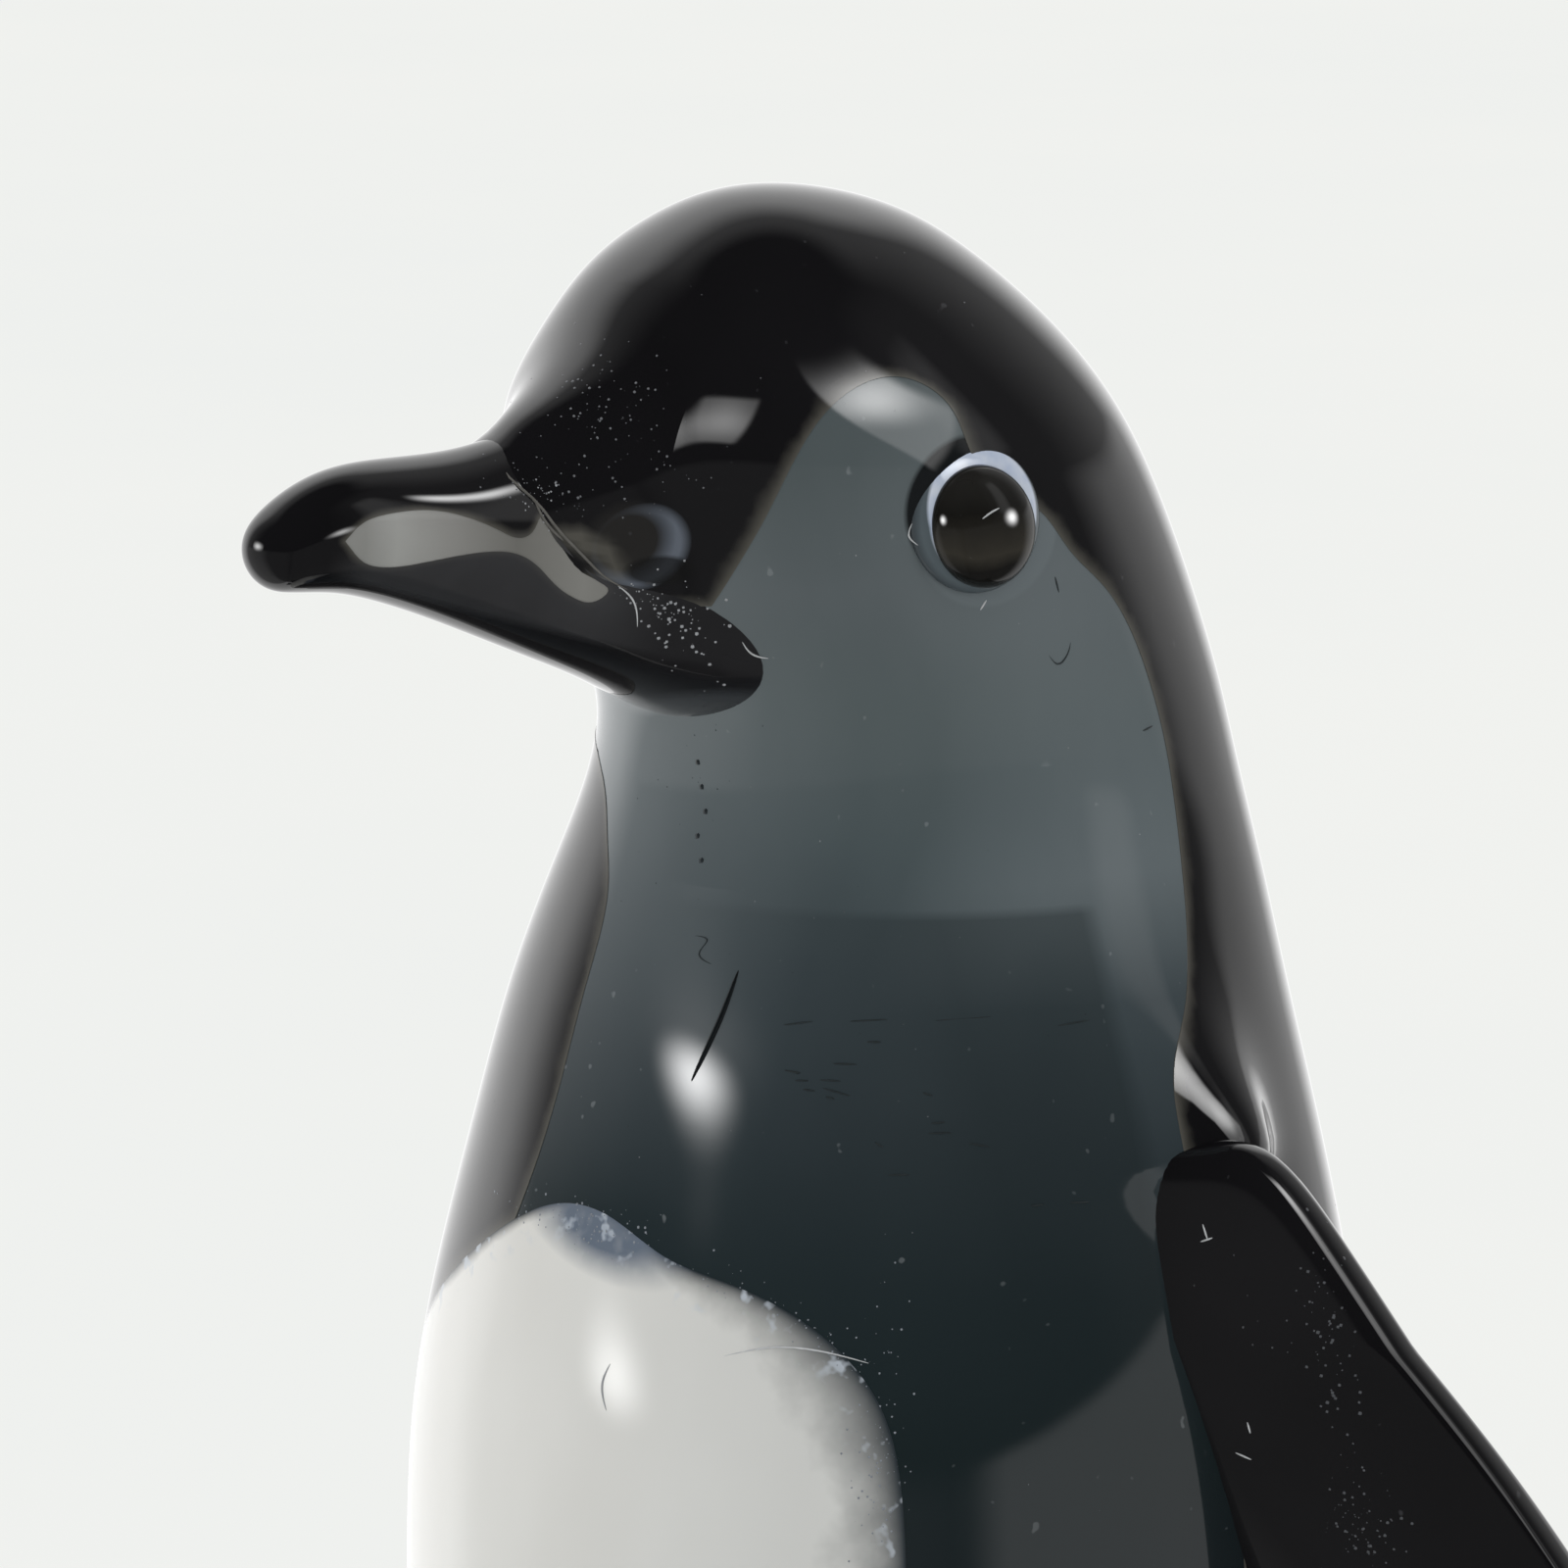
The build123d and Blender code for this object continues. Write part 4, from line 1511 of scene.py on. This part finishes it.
@dataclass
class Tail:
    """Short tail, drawn out of the back."""

    width: float = 20.0
    length: float = 32.0
    thickness: float = 10.8
    place: Place = (0.0, 26.0, 9.0)
    droop: float = 18.0
    MESH = (64, 48)

    def build(self) -> Pieces:
        """Makes the tail.

        Returns:
            The object by name.
        """
        size = Matrix.Diagonal((self.width / 2, self.length / 2, self.thickness / 2, 1))
        spot = Matrix.Translation(self.place) @ Matrix.Rotation(math.radians(-self.droop), 4, "X")
        bm = glass_ball(mirror(Side.LEFT) @ spot @ size, *self.MESH)
        black = BlackGlass("black_tail_glass").make()
        piece = Piece("drawn_tail", bm, black, Slot.BLACK, ("tail",))
        return {piece.name: piece.settle()}


Sight = Callable[[float, float], Vector]
Line = Sequence[tuple[float, float]]


@dataclass
class Inclusions:
    """Seed bubbles, threads and fibres at the skin of the glass, laid by where they are seen."""

    eye: Vector
    sight: Sight
    pieces: Pieces
    # How far a bubble is sunk into the skin, as a share of its radius.
    sunk: float = 0.55
    thread_spacing: float = 0.05
    THREAD_MESH = (8, 20)
    # A bubble's radius is drawn as a share from the least to one, raised to the power.
    LEAST = 0.3
    POWER = 1.6
    PALE = SpeckGlass("pale_seed_glass", from_srgb(176, 178, 182))
    # Name, glass, slot, single bubbles, and clusters: start of the draws, middle, spread across
    # and down, lean, how many, and the largest usual radius. Places are in the photograph.
    SEEDS = (
        ("bill_seeds", PALE, Slot.MILKY, (), (
            (11, (692, 640), (34, 64), -28, 70, 0.20),
            (12, (664, 610), (46, 16), 20, 40, 0.15),
            (13, (546, 506), (34, 24), 30, 30, 0.13),
        )),
        ("head_seeds", SpeckGlass("head_seed_glass", from_srgb(124, 126, 130)), Slot.MILKY, (), (
            (21, (598, 392), (60, 30), 10, 22, 0.17),
            (22, (634, 436), (56, 74), -20, 44, 0.12),
            (23, (560, 498), (70, 28), 20, 46, 0.14),
            (24, (690, 490), (60, 20), 0, 10, 0.10),
            (25, (610, 420), (110, 110), 0, 60, 0.15),
        )),
        ("belly_seeds", SpeckGlass("belly_seed_glass", from_srgb(150, 156, 164)), Slot.MILKY, (), (
            (31, (600, 1250), (84, 26), 14, 110, 0.15),
            (32, (897, 1490), (28, 170), 4, 130, 0.13),
            (33, (845, 1372), (70, 20), 38, 40, 0.11),
            (34, (745, 1312), (90, 14), 20, 24, 0.10),
        )),
        ("wing_seeds", SpeckGlass("dim_seed_glass", from_srgb(96, 98, 102)), Slot.MILKY, (), (
            (41, (1362, 1385), (24, 150), -6, 84, 0.20),
            (42, (1392, 1562), (44, 60), -20, 80, 0.18),
            (43, (1330, 1350), (70, 120), 0, 20, 0.12),
        )),
        (
            "breast_bubbles", SpeckGlass("bubble_glass", from_srgb(48, 54, 57)), Slot.SLATE,
            ((712, 778, 0.3), (716, 803, 0.3), (720, 828, 0.3), (712, 853, 0.3), (716, 878, 0.3)),
            (
                (51, (705, 830), (60, 110), 0, 26, 0.08),
                (52, (1000, 1060), (420, 180), 0, 30, 0.07),
            ),
        ),
        ("skin_specks", PALE, Slot.MILKY, (), (
            (61, (1000, 900), (360, 900), 0, 36, 0.07),
            (62, (900, 330), (300, 160), 0, 12, 0.07),
        )),
    )
    SEAM = (
        ((500, 456), (520, 489), (546, 512), (568, 540), (592, 565), (618, 590), (640, 602)),
        ((545, 512), (556, 533), (574, 552)),
    )
    HAIRS = (
        ((630, 598), (645, 612), (650, 640)),
        ((757, 655), (768, 668), (784, 672)),
        ((930, 534), (927, 547), (936, 556)),
        ((1002, 529), (1010, 523), (1019, 518)),
        ((740, 1384), (790, 1375), (840, 1379), (888, 1391)),
        ((1228, 1248), (1233, 1264)),
        ((1226, 1266), (1238, 1262)),
        ((1274, 1450), (1277, 1461)),
        ((1262, 1481), (1278, 1488)),
        ((1000, 622), (1006, 612)),
    )
    THREADS = (((754, 990), (738, 1034), (722, 1070), (706, 1104)),)
    FLECKS = (
        ((710, 955), (722, 960), (714, 972), (726, 984)),
        ((868, 1042), (906, 1040)),
        ((955, 1041), (1012, 1037)),
        ((1080, 1046), (1112, 1040)),
        ((800, 1046), (830, 1042)),
        ((840, 1110), (868, 1118)),
        ((1070, 668), (1080, 677), (1090, 664), (1092, 655)),
        ((1166, 745), (1176, 740)),
        ((1076, 588), (1080, 604)),
    )
    # Loose flecks: start of the draws, how many, where, how long and how far down they run.
    LOOSE = (71, 16, (790, 1110), (1060, 1230), (8, 26), (-3, 5))
    CRACK = (((624, 1392), (616, 1412), (620, 1440)),)

    def __post_init__(self) -> None:
        """Readies the skins for finding points on them."""
        self.skins = []
        for item in self.pieces.values():
            bm = bmesh.new()
            bm.from_mesh(item.data)
            self.skins.append(BVHTree.FromBMesh(bm))
            bm.free()

    def land(self, across: float, down: float) -> tuple[Vector, Vector] | None:
        """Point and outward direction, in millimetres, where the camera sees the glass.

        Args:
            across: Place across the photograph.
            down: Place down it.

        Returns:
            The nearest point and its normal, or nothing beside the bird.
        """
        away = self.sight(across, down)
        hits = [skin.ray_cast(self.eye * MM, away) for skin in self.skins]
        hits = [hit for hit in hits if hit[0] is not None]
        if not hits:
            return None
        point, normal, _, _ = min(hits, key=lambda hit: hit[3])
        return point / MM, normal

    def seeds(
        self, name: str, spots: Sequence[Sequence[float]], finish: SpeckGlass, slot: Slot
    ) -> bpy.types.Object:
        """Small half-sunk bubbles.

        Args:
            name: Name of the piece that holds them all.
            spots: Place in the photograph and radius in millimetres of each.
            finish: Their glass.
            slot: Material slot.

        Returns:
            The piece.
        """
        bm = bmesh.new()
        for across, down, radius in spots:
            found = self.land(across, down)
            if found is None:
                continue
            centre = (found[0] - found[1] * radius * self.sunk) * MM
            size = Matrix.Translation(centre) @ Matrix.Scale(radius * MM, 4)
            bmesh.ops.create_icosphere(bm, subdivisions=1, radius=1.0, matrix=size)
        return Piece(name, bm, finish.make(), slot).settle()

    def cluster(
        self,
        seed: int,
        centre: tuple[float, float],
        spread: tuple[float, float],
        lean: float,
        count: int,
        size: float,
    ) -> list[Place]:
        """Scatters bubbles over an oval of the photograph.

        Args:
            seed: Start of the random draws.
            centre: Middle of the oval.
            spread: Its spread across and down.
            lean: Degrees by which it is turned.
            count: How many bubbles.
            size: Largest usual radius in millimetres.

        Returns:
            Place and radius of each.
        """
        draw = random.Random(seed)
        turn = math.radians(lean)
        spots = []
        for _ in range(count):
            side, drop = draw.gauss(0, spread[0] / 2), draw.gauss(0, spread[1] / 2)
            across = centre[0] + side * math.cos(turn) - drop * math.sin(turn)
            down = centre[1] + side * math.sin(turn) + drop * math.cos(turn)
            spots.append((across, down, size * draw.uniform(self.LEAST, 1.0) ** self.POWER))
        return spots

    def loose_flecks(self) -> list[Line]:
        """Scatters short flecks over the lower breast.

        Returns:
            The flecks, as places in the photograph.
        """
        seed, count, wide, tall, length, slope = self.LOOSE
        draw = random.Random(seed)
        flecks = []
        for _ in range(count):
            across, down, run = draw.uniform(*wide), draw.uniform(*tall), draw.uniform(*length)
            flecks.append(((across, down), (across + run, down + draw.uniform(*slope))))
        return flecks

    def strands(
        self, name: str, lines: Sequence[Line], radius: float, finish: SpeckGlass, slot: Slot
    ) -> bpy.types.Object:
        """Thin threads along the skin, drawn to a point at both ends.

        Args:
            name: Name of the piece that holds them all.
            lines: Places in the photograph that each thread runs through.
            radius: Greatest radius in millimetres.
            finish: Their glass.
            slot: Material slot.

        Returns:
            The piece.
        """
        bm = bmesh.new()
        for line in lines:
            spots = [spot for spot in (self.land(*place) for place in line) if spot is not None]
            path = smooth_line([point[:] for point, _ in spots], self.thread_spacing)
            out = sum((normal for _, normal in spots), Vector()).normalized()
            around, levels = self.THREAD_MESH
            made = bmesh.ops.create_uvsphere(bm, u_segments=around, v_segments=levels, radius=1.0)
            ahead = Vector(path[-1] - path[0]).normalized()
            beside = ahead.cross(out).normalized()
            for vert in made["verts"]:
                share = (vert.co.z + 1) / 2
                middle = Vector(path[min(int(share * len(path)), len(path) - 1)])
                spot = middle + (beside * vert.co.x + out * vert.co.y) * radius
                vert.co = spot * MM
        bmesh.ops.recalc_face_normals(bm, faces=bm.faces)
        return Piece(name, bm, finish.make(), slot).settle()

    def build(self) -> Pieces:
        """Lays all inclusions.

        Returns:
            The objects by name.
        """
        white = SpeckGlass("white_fibre_glass", from_srgb(214, 216, 218))
        seam = SpeckGlass("seam_glass", from_srgb(112, 110, 106))
        dark = SpeckGlass("dark_thread_glass", from_srgb(22, 26, 28))
        faint = SpeckGlass("faint_fleck_glass", from_srgb(50, 56, 58))
        items = []
        for name, finish, slot, single, clusters in self.SEEDS:
            spots = [*single, *(spot for cluster in clusters for spot in self.cluster(*cluster))]
            items.append(self.seeds(name, spots, finish, slot))
        flecks = [*self.FLECKS, *self.loose_flecks()]
        for name, lines, radius, finish, slot in (
            ("bill_seam", self.SEAM, 0.11, seam, Slot.MILKY),
            ("white_hairs", self.HAIRS, 0.07, white, Slot.MILKY),
            ("dark_threads", self.THREADS, 0.20, dark, Slot.BLACK),
            ("dark_flecks", flecks, 0.07, faint, Slot.BLACK),
            ("belly_crack", self.CRACK, 0.08, self.PALE, Slot.MILKY),
        ):
            items.append(self.strands(name, lines, radius, finish, slot))
        return {item.name: item for item in items}


# --------------------------------------------------------------------------------------------
# Studio
# --------------------------------------------------------------------------------------------


def heading(azimuth: float, elevation: float) -> Vector:
    """Direction at an azimuth, nought being straight in front of the bird, and an elevation."""
    turn, rise = math.radians(azimuth), math.radians(elevation)
    level = math.cos(rise)
    return Vector((math.sin(turn) * level, -math.cos(turn) * level, math.sin(rise)))


@dataclass(frozen=True)
class Pane:
    """Bright stretch of the room that glass reflects, in degrees of azimuth and elevation."""

    azimuth: float
    half_width: float
    soft_width: float
    low: float
    soft_low: float
    high: float
    soft_high: float
    glow: float
    lean: float = 0.0


class SkySheet(ShaderSheet):
    """Shader nodes of the world or of a lamp."""

    # Least width of an edge, in degrees.
    LEAST_SLOPE = 0.01

    def __init__(self, tree: bpy.types.NodeTree, target: Place | None = None) -> None:
        """Finds the direction that a ray looks in.

        Args:
            tree: Nodes of the world or the lamp.
            target: Point in millimetres that a lamp is seen from; none for the world.
        """
        super().__init__(tree)
        if target is None:
            self.looking = self.add("ShaderNodeTexCoord").outputs["Generated"]
        else:
            away = self.add("ShaderNodeVectorMath", operation="SUBTRACT")
            self.feed(away, 0, self.add("ShaderNodeNewGeometry").outputs["Position"])
            self.feed(away, 1, tuple(value * MM for value in target))
            whole = self.add("ShaderNodeVectorMath", operation="NORMALIZE")
            self.feed(whole, 0, away.outputs[0])
            self.looking = whole.outputs[0]
        self.rise = self.math("ARCSINE", self.split(self.looking).outputs["Z"])

    def sideways(self, looking: object) -> bpy.types.NodeSocket:
        """Azimuth of a direction, nought being straight in front of the bird."""
        parts = self.split(looking)
        before = self.math("MULTIPLY", parts.outputs["Y"], -1.0)
        return self.math("ARCTAN2", parts.outputs["X"], before)

    def slope(self, value: object, start: float, end: float) -> bpy.types.NodeSocket:
        """Smooth change from nought to one.

        Args:
            value: Angle that it goes by, as an output.
            start: Where it is nought, in degrees.
            end: Where it is one, in degrees.

        Returns:
            The change, as an output.
        """
        node = self.add("ShaderNodeMapRange", interpolation_type="SMOOTHSTEP")
        if end == start:
            end = start + self.LEAST_SLOPE
        numbers = (value, math.radians(start), math.radians(end), 0.0, 1.0)
        if start > end:
            numbers = (value, math.radians(end), math.radians(start), 1.0, 0.0)
        for key, item in enumerate(numbers):
            self.feed(node, key, item)
        return node.outputs[0]

    def add_pane(self, glow: object, pane: Pane) -> bpy.types.NodeSocket:
        """Adds a bright stretch to what the glass reflects.

        Args:
            glow: What is there so far.
            pane: The bright stretch.

        Returns:
            Both together.
        """
        turned = self.add("ShaderNodeVectorRotate", rotation_type="Z_AXIS")
        self.feed(turned, "Vector", self.looking)
        self.feed(turned, "Angle", -math.radians(pane.azimuth))
        side = self.sideways(turned.outputs[0])
        rise = self.math("ADD", self.rise, self.math("MULTIPLY", side, pane.lean))
        wide, soft = pane.half_width, pane.soft_width / 2
        share = self.product(
            pane.glow,
            self.slope(side, -wide - soft, -wide + soft),
            self.slope(side, wide + soft, wide - soft),
            self.slope(rise, pane.low - pane.soft_low / 2, pane.low + pane.soft_low / 2),
            self.slope(rise, pane.high + pane.soft_high / 2, pane.high - pane.soft_high / 2),
        )
        return self.math("MAXIMUM", glow, share)

    def close(self, glow: object, plain: Colour, background: Colour) -> None:
        """Gives plain light to colours, the room to glass, and the background to the camera.

        Args:
            glow: What glass reflects.
            plain: Light on the colours.
            background: What the camera and clear glass see.
        """
        room = self.add("ShaderNodeCombineColor")
        for channel in range(3):
            self.feed(room, channel, glow)
        rays = self.add("ShaderNodeLightPath").outputs
        glassy = self.mix(rays["Is Glossy Ray"], plain, room.outputs[0])
        seen = self.math("MAXIMUM", rays["Is Camera Ray"], rays["Is Transmission Ray"])
        light = self.add("ShaderNodeBackground")
        self.feed(light, "Color", self.mix(seen, glassy, background))
        output = self.add("ShaderNodeOutputWorld")
        self.feed(output, 0, light.outputs[0])


@dataclass(frozen=True)
class Softbox:
    """Lamp that shows in the gloss of the glass as a bright spot with straight edges.

    The spot and the edges are laid out in degrees of azimuth and elevation from the target. An
    edge runs between two directions, with its softness last, and keeps what is left of it.
    """

    name: str
    # Names of the pieces that it lights.
    on: Sequence[str]
    # Point in millimetres that it shines at, and the way and the distance in metres to it.
    target: Place
    place: tuple[float, float]
    # Width and height in metres.
    size: tuple[float, float]
    glow: float
    # Middle of the spot, and how far it reaches sideways and up.
    spot: tuple[float, float, float, float]
    # Share of the glow that is left beyond the spot.
    plateau: float = 0.0
    edges: Sequence[tuple[float, float, float, float, float]] = ()
    distance: float = 1.0
    FADE = 1.7

    def hang(self, pieces: Pieces) -> None:
        """Hangs the lamp, which lights only its own pieces.

        Args:
            pieces: Finished pieces by name.
        """
        data = bpy.data.lights.new(self.name, "AREA")
        data.shape = "RECTANGLE"
        data.size, data.size_y = self.size
        data.energy = self.glow * math.pi * data.size * data.size_y
        data.use_nodes = True
        self._shade(data.node_tree)
        lamp = bpy.data.objects.new(self.name, data)
        bpy.context.scene.collection.objects.link(lamp)
        away = heading(*self.place)
        lamp.location = Vector(self.target) * MM + away * self.distance
        lamp.rotation_mode = "QUATERNION"
        lamp.rotation_quaternion = away.to_track_quat("Z", "Y")
        lamp.visible_diffuse = False
        lamp.visible_camera = False
        group = bpy.data.collections.new(f"{self.name}_on")
        for name in self.on:
            group.objects.link(pieces[name])
        lamp.light_linking.receiver_collection = group

    def _shade(self, tree: bpy.types.NodeTree) -> None:
        """Makes the lamp fade from its spot to its plateau and end at its edges.

        Args:
            tree: Shader of the lamp.
        """
        sky = SkySheet(tree, self.target)
        side = sky.sideways(sky.looking)
        across, along = (
            sky.math("DIVIDE", sky.math("SUBTRACT", value, math.radians(middle)), reach)
            for value, middle, reach in zip((side, sky.rise), self.spot[:2], self.spot[2:])
        )
        share = sky.math("POWER", sky.slope(sky.distance(across, along), 1.0, 0.0), self.FADE)
        share = sky.product(share, 1.0 - self.plateau)
        share = sky.math("ADD", share, self.plateau)
        for first, low, second, high, soft in self.edges:
            run, climb = second - first, high - low
            length = math.hypot(run, climb)
            lean = sky.math("MULTIPLY", side, -climb / length)
            gap = sky.math("ADD", lean, sky.math("MULTIPLY", sky.rise, run / length))
            start = (low * run - first * climb) / length
            share = sky.product(share, sky.slope(gap, start - soft / 2, start + soft / 2))
        glow = sky.add("ShaderNodeEmission")
        sky.feed(glow, "Strength", share)
        output = sky.add("ShaderNodeOutputLight")
        sky.feed(output, 0, glow.outputs[0])


@dataclass
class Studio:
    """Pale floor, plain world, softboxes and the camera."""

    azimuth: float = 48.0
    elevation: float = 10.0
    distance: float = 650.0
    aim: Place = (0.0, 0.0, 133.0)
    aim_pixel: tuple[float, float] = (918.0, 799.8)
    scale: float = 0.0675
    photo: float = 1600.0
    sensor: float = 36.0
    background: Colour = from_srgb(242, 243, 240)
    plain_light: Colour = (0.86, 0.865, 0.87)
    # Dimmest light of the room that glass sees, and share of the floor that glows by itself.
    dim: float = 0.02
    floor_glow: float = 0.86
    floor_radius: float = 12.0
    # Azimuth, half width and its softness, lower and upper edge with theirs, glow and lean.
    PANES = (
        Pane(-116, 46, 30, -120, 2, 54, 26, 1.25),
        Pane(-52, 42, 40, -120, 2, 2, 8, 0.45),
        Pane(15, 45, 40, -120, 2, 2, 8, 0.14),
        Pane(184, 28, 30, -120, 2, 9, 8, 0.72),
        Pane(-125, 75, 60, -120, 2, 66, 14, 0.35),
        Pane(124, 9, 12, 14, 6, 50, 12, 0.55),
        Pane(165, 60, 40, -120, 2, 62, 20, 0.11),
        Pane(100, 42, 14, -120, 2, 7.2, 6, 0.12, -0.12),
    )
    # Names of the pieces that a lamp lights.
    HEAD = ("black_mantle",)
    CHEEK = ("slate_head",)
    BREAST = ("slate_breast",)
    BELLY = ("opal_belly",)
    BEADS = ("bead_left", "bead_right")
    COVERS = ("wing_left", "wing_right", "ring_left")
    BILL = ("bill_cover", "bill_glass")
    # Edges of the light on the side, on the brow, and from the ground on the breast.
    PATCH = (
        (68, 50, 101, 6, 3.0),
        (101, 6, 125, 34, 4.0),
        (126, 34, 102, 54, 6.0),
        (130, 52, 50, 52, 11.0),
    )
    LEAF = (
        (26, 18, 34, 16, 4.0),
        (34, 16, 41, 38, 3.0),
        (40, 44, 17, 44, 3.0),
        (20, 44, 26, 18, 3.0),
    )
    GROUND = ((142, 12.2, 58, 2.2, 2.0), (67, 40, 67, -40, 12.0))
    # Way to the two lamps at the side, their size, glow, spot, plateau and edges.
    ASIDE = ((92, 36), (1.3, 1.2), 11, (95, 43, 40, 18), 0.16, PATCH)
    # A spot so wide that the light is even.
    EVEN = (100, 0, 400, 400)
    # Points that lamps shine at.
    BROW = (10.6, -26, 161.7)
    THROAT = (8.8, -26.1, 116.8)
    FLANK = (29, -13, 95)
    EYE = (20, -11, 155)
    RIDGE = (4, -37, 157.4)
    BOXES = (
        Softbox("side_box", HEAD + COVERS, (14, -18, 163), *ASIDE),
        Softbox("cheek_box", CHEEK, (16, -18, 161), *ASIDE),
        Softbox(
            "forehead_box", HEAD, BROW, (29, 30), (0.6, 0.8), 5, (30, 31, 20, 22), 0.3, LEAF
        ),
        Softbox("breast_box", BREAST, THROAT, (-14, 15.8), (1.0, 0.5), 18, (-14, 15.8, 20, 5.4)),
        Softbox("haze_box", BREAST, THROAT, (-16, 20), (1.4, 0.7), 1.0, (-16, 20, 34, 11)),
        Softbox("belly_box", BELLY, (7, -31, 98), (-26, 5), (0.6, 0.3), 8, (-26, 5, 16, 4.6)),
        Softbox(
            "ground_box", BREAST, FLANK, (100, -2), (0.9, 0.17), 0.6, EVEN, 1.0, GROUND, 0.4
        ),
        Softbox("eye_left_box", BEADS, EYE, (4, 10), (1.0, 0.5), 26, (4, 10, 22, 11)),
        Softbox("eye_right_box", BEADS, EYE, (130, 9), (0.8, 0.4), 24, (130, 9, 16, 10)),
        Softbox(
            "bill_root_box",
            BILL,
            RIDGE,
            (134, 37),
            (0.04, 0.04),
            13,
            (133, 37, 7, 12),
            distance=0.05,
        ),
        Softbox(
            "bill_tip_box", BILL, (3.4, -52, 156), (104, 11), (0.4, 0.4), 9, (104, 11, 8.5, 8.5)
        ),
        Softbox(
            "bill_end_box", BILL, (0.6, -56, 155.3), (-32, 8), (0.6, 0.4), 12, (-32, 8, 24, 14)
        ),
    )
    # Key light: the way and the distance in metres to it, its width, and its power.
    KEY_PLACE = (-55, 38)
    KEY_DISTANCE = 1.6
    KEY_SIZE = 1.2
    KEY_POWER = 3.0
    # Height in metres of the point that it shines at.
    KEY_LEVEL = 0.1

    def axes(self) -> tuple[Vector, Vector, Vector]:
        """Directions from the object to the camera, to its right and up."""
        turn = math.radians(self.azimuth)
        back = heading(self.azimuth, self.elevation)
        right = Vector((math.cos(turn), math.sin(turn), 0))
        return back, right, back.cross(right)

    def eye_point(self) -> Vector:
        """Where the camera stands, in millimetres."""
        return Vector(self.aim) + self.axes()[0] * self.distance

    def sight(self, across: float, down: float) -> Vector:
        """Direction in which the camera sees a point of the photograph."""
        back, right, up = self.axes()
        focal = self.distance / self.scale
        away = right * (across - self.aim_pixel[0]) - up * (down - self.aim_pixel[1])
        return (away / focal - back).normalized()

    def camera(self) -> None:
        """Stands the camera where the photograph was taken."""
        data = bpy.data.cameras.new("view")
        data.lens = self.distance / self.scale / self.photo * self.sensor
        data.sensor_width = self.sensor
        data.clip_start, data.clip_end = 0.05, 100.0
        eye = bpy.data.objects.new("view", data)
        bpy.context.scene.collection.objects.link(eye)
        eye.location = self.eye_point() * MM
        eye.rotation_mode = "QUATERNION"
        middle = self.photo / 2
        eye.rotation_quaternion = self.sight(middle, middle).to_track_quat("-Z", "Y")
        bpy.context.scene.camera = eye

    def floor(self) -> None:
        """Lays the pale floor."""
        bm = bmesh.new()
        bmesh.ops.create_circle(bm, cap_ends=True, segments=96, radius=self.floor_radius)
        mesh = bpy.data.meshes.new("floor")
        bm.to_mesh(mesh)
        bm.free()
        plane = bpy.data.objects.new("floor", mesh)
        bpy.context.scene.collection.objects.link(plane)
        plane.visible_glossy = False
        sheet = NodeSheet("pale_floor")
        rays = sheet.add("ShaderNodeLightPath").outputs
        seen = sheet.math("MAXIMUM", rays["Is Camera Ray"], rays["Is Glossy Ray"])
        seen = sheet.math("MAXIMUM", seen, rays["Is Transmission Ray"])
        veins = sheet.noise(2.2, 5, 0.6)
        tint = sheet.mix(sheet.span(veins, 0.4, 0.75), self.background, from_srgb(239, 241, 239))
        glow = sheet.add("ShaderNodeEmission")
        sheet.feed(glow, "Color", tint)
        matt = sheet.add("ShaderNodeBsdfDiffuse")
        sheet.feed(matt, "Color", tint)
        blend = sheet.add("ShaderNodeMixShader")
        sheet.feed(blend, 0, sheet.product(seen, self.floor_glow))
        sheet.feed(blend, 1, matt.outputs[0])
        sheet.feed(blend, 2, glow.outputs[0])
        output = sheet.add("ShaderNodeOutputMaterial")
        sheet.feed(output, 0, blend.outputs[0])
        mesh.materials.append(sheet.material)

    def world(self) -> None:
        """Plain light from all round; glass sees a bright backdrop and a dark camera side."""
        world = bpy.data.worlds.new("studio")
        world.use_nodes = True
        bpy.context.scene.world = world
        sky = SkySheet(world.node_tree)
        glow = self.dim
        for pane in self.PANES:
            glow = sky.add_pane(glow, pane)
        sky.close(glow, self.plain_light, self.background)

    def build(self, pieces: Pieces) -> None:
        """Sets up the whole studio."""
        bpy.context.scene.view_settings.view_transform = "Standard"
        self.floor()
        self.world()
        self.camera()
        for box in self.BOXES:
            box.hang(pieces)
        self.key_light()

    def key_light(self) -> None:
        """Wide soft lamp that shapes the colours and is not seen in the gloss."""
        data = bpy.data.lights.new("soft_key", "AREA")
        data.size, data.energy = self.KEY_SIZE, self.KEY_POWER
        lamp = bpy.data.objects.new("soft_key", data)
        bpy.context.scene.collection.objects.link(lamp)
        away = heading(*self.KEY_PLACE)
        lamp.location = away * self.KEY_DISTANCE + Vector((0, 0, self.KEY_LEVEL))
        lamp.rotation_mode = "QUATERNION"
        lamp.rotation_quaternion = away.to_track_quat("Z", "Y")
        lamp.visible_glossy = False
        lamp.visible_camera = False


def main() -> None:
    """Builds the glass penguin round the frame."""
    logging.basicConfig(level=logging.INFO, format="%(name)s %(message)s")
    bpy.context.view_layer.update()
    pieces: Pieces = {}
    pieces.update(BodyGlass(BodyForm()).build())
    pieces.update(Bill(BillForm()).build())
    for side in Side:
        pieces.update(Eye(side).build())
        pieces.update(Flipper(side).build())
        pieces.update(Foot(side).build())
    pieces.update(Tail().build())
    studio = Studio()
    pieces.update(Inclusions(studio.eye_point(), studio.sight, pieces).build())
    studio.build(pieces)
    LOG.info("%d pieces", len(pieces))


if __name__ == "__main__":
    main()
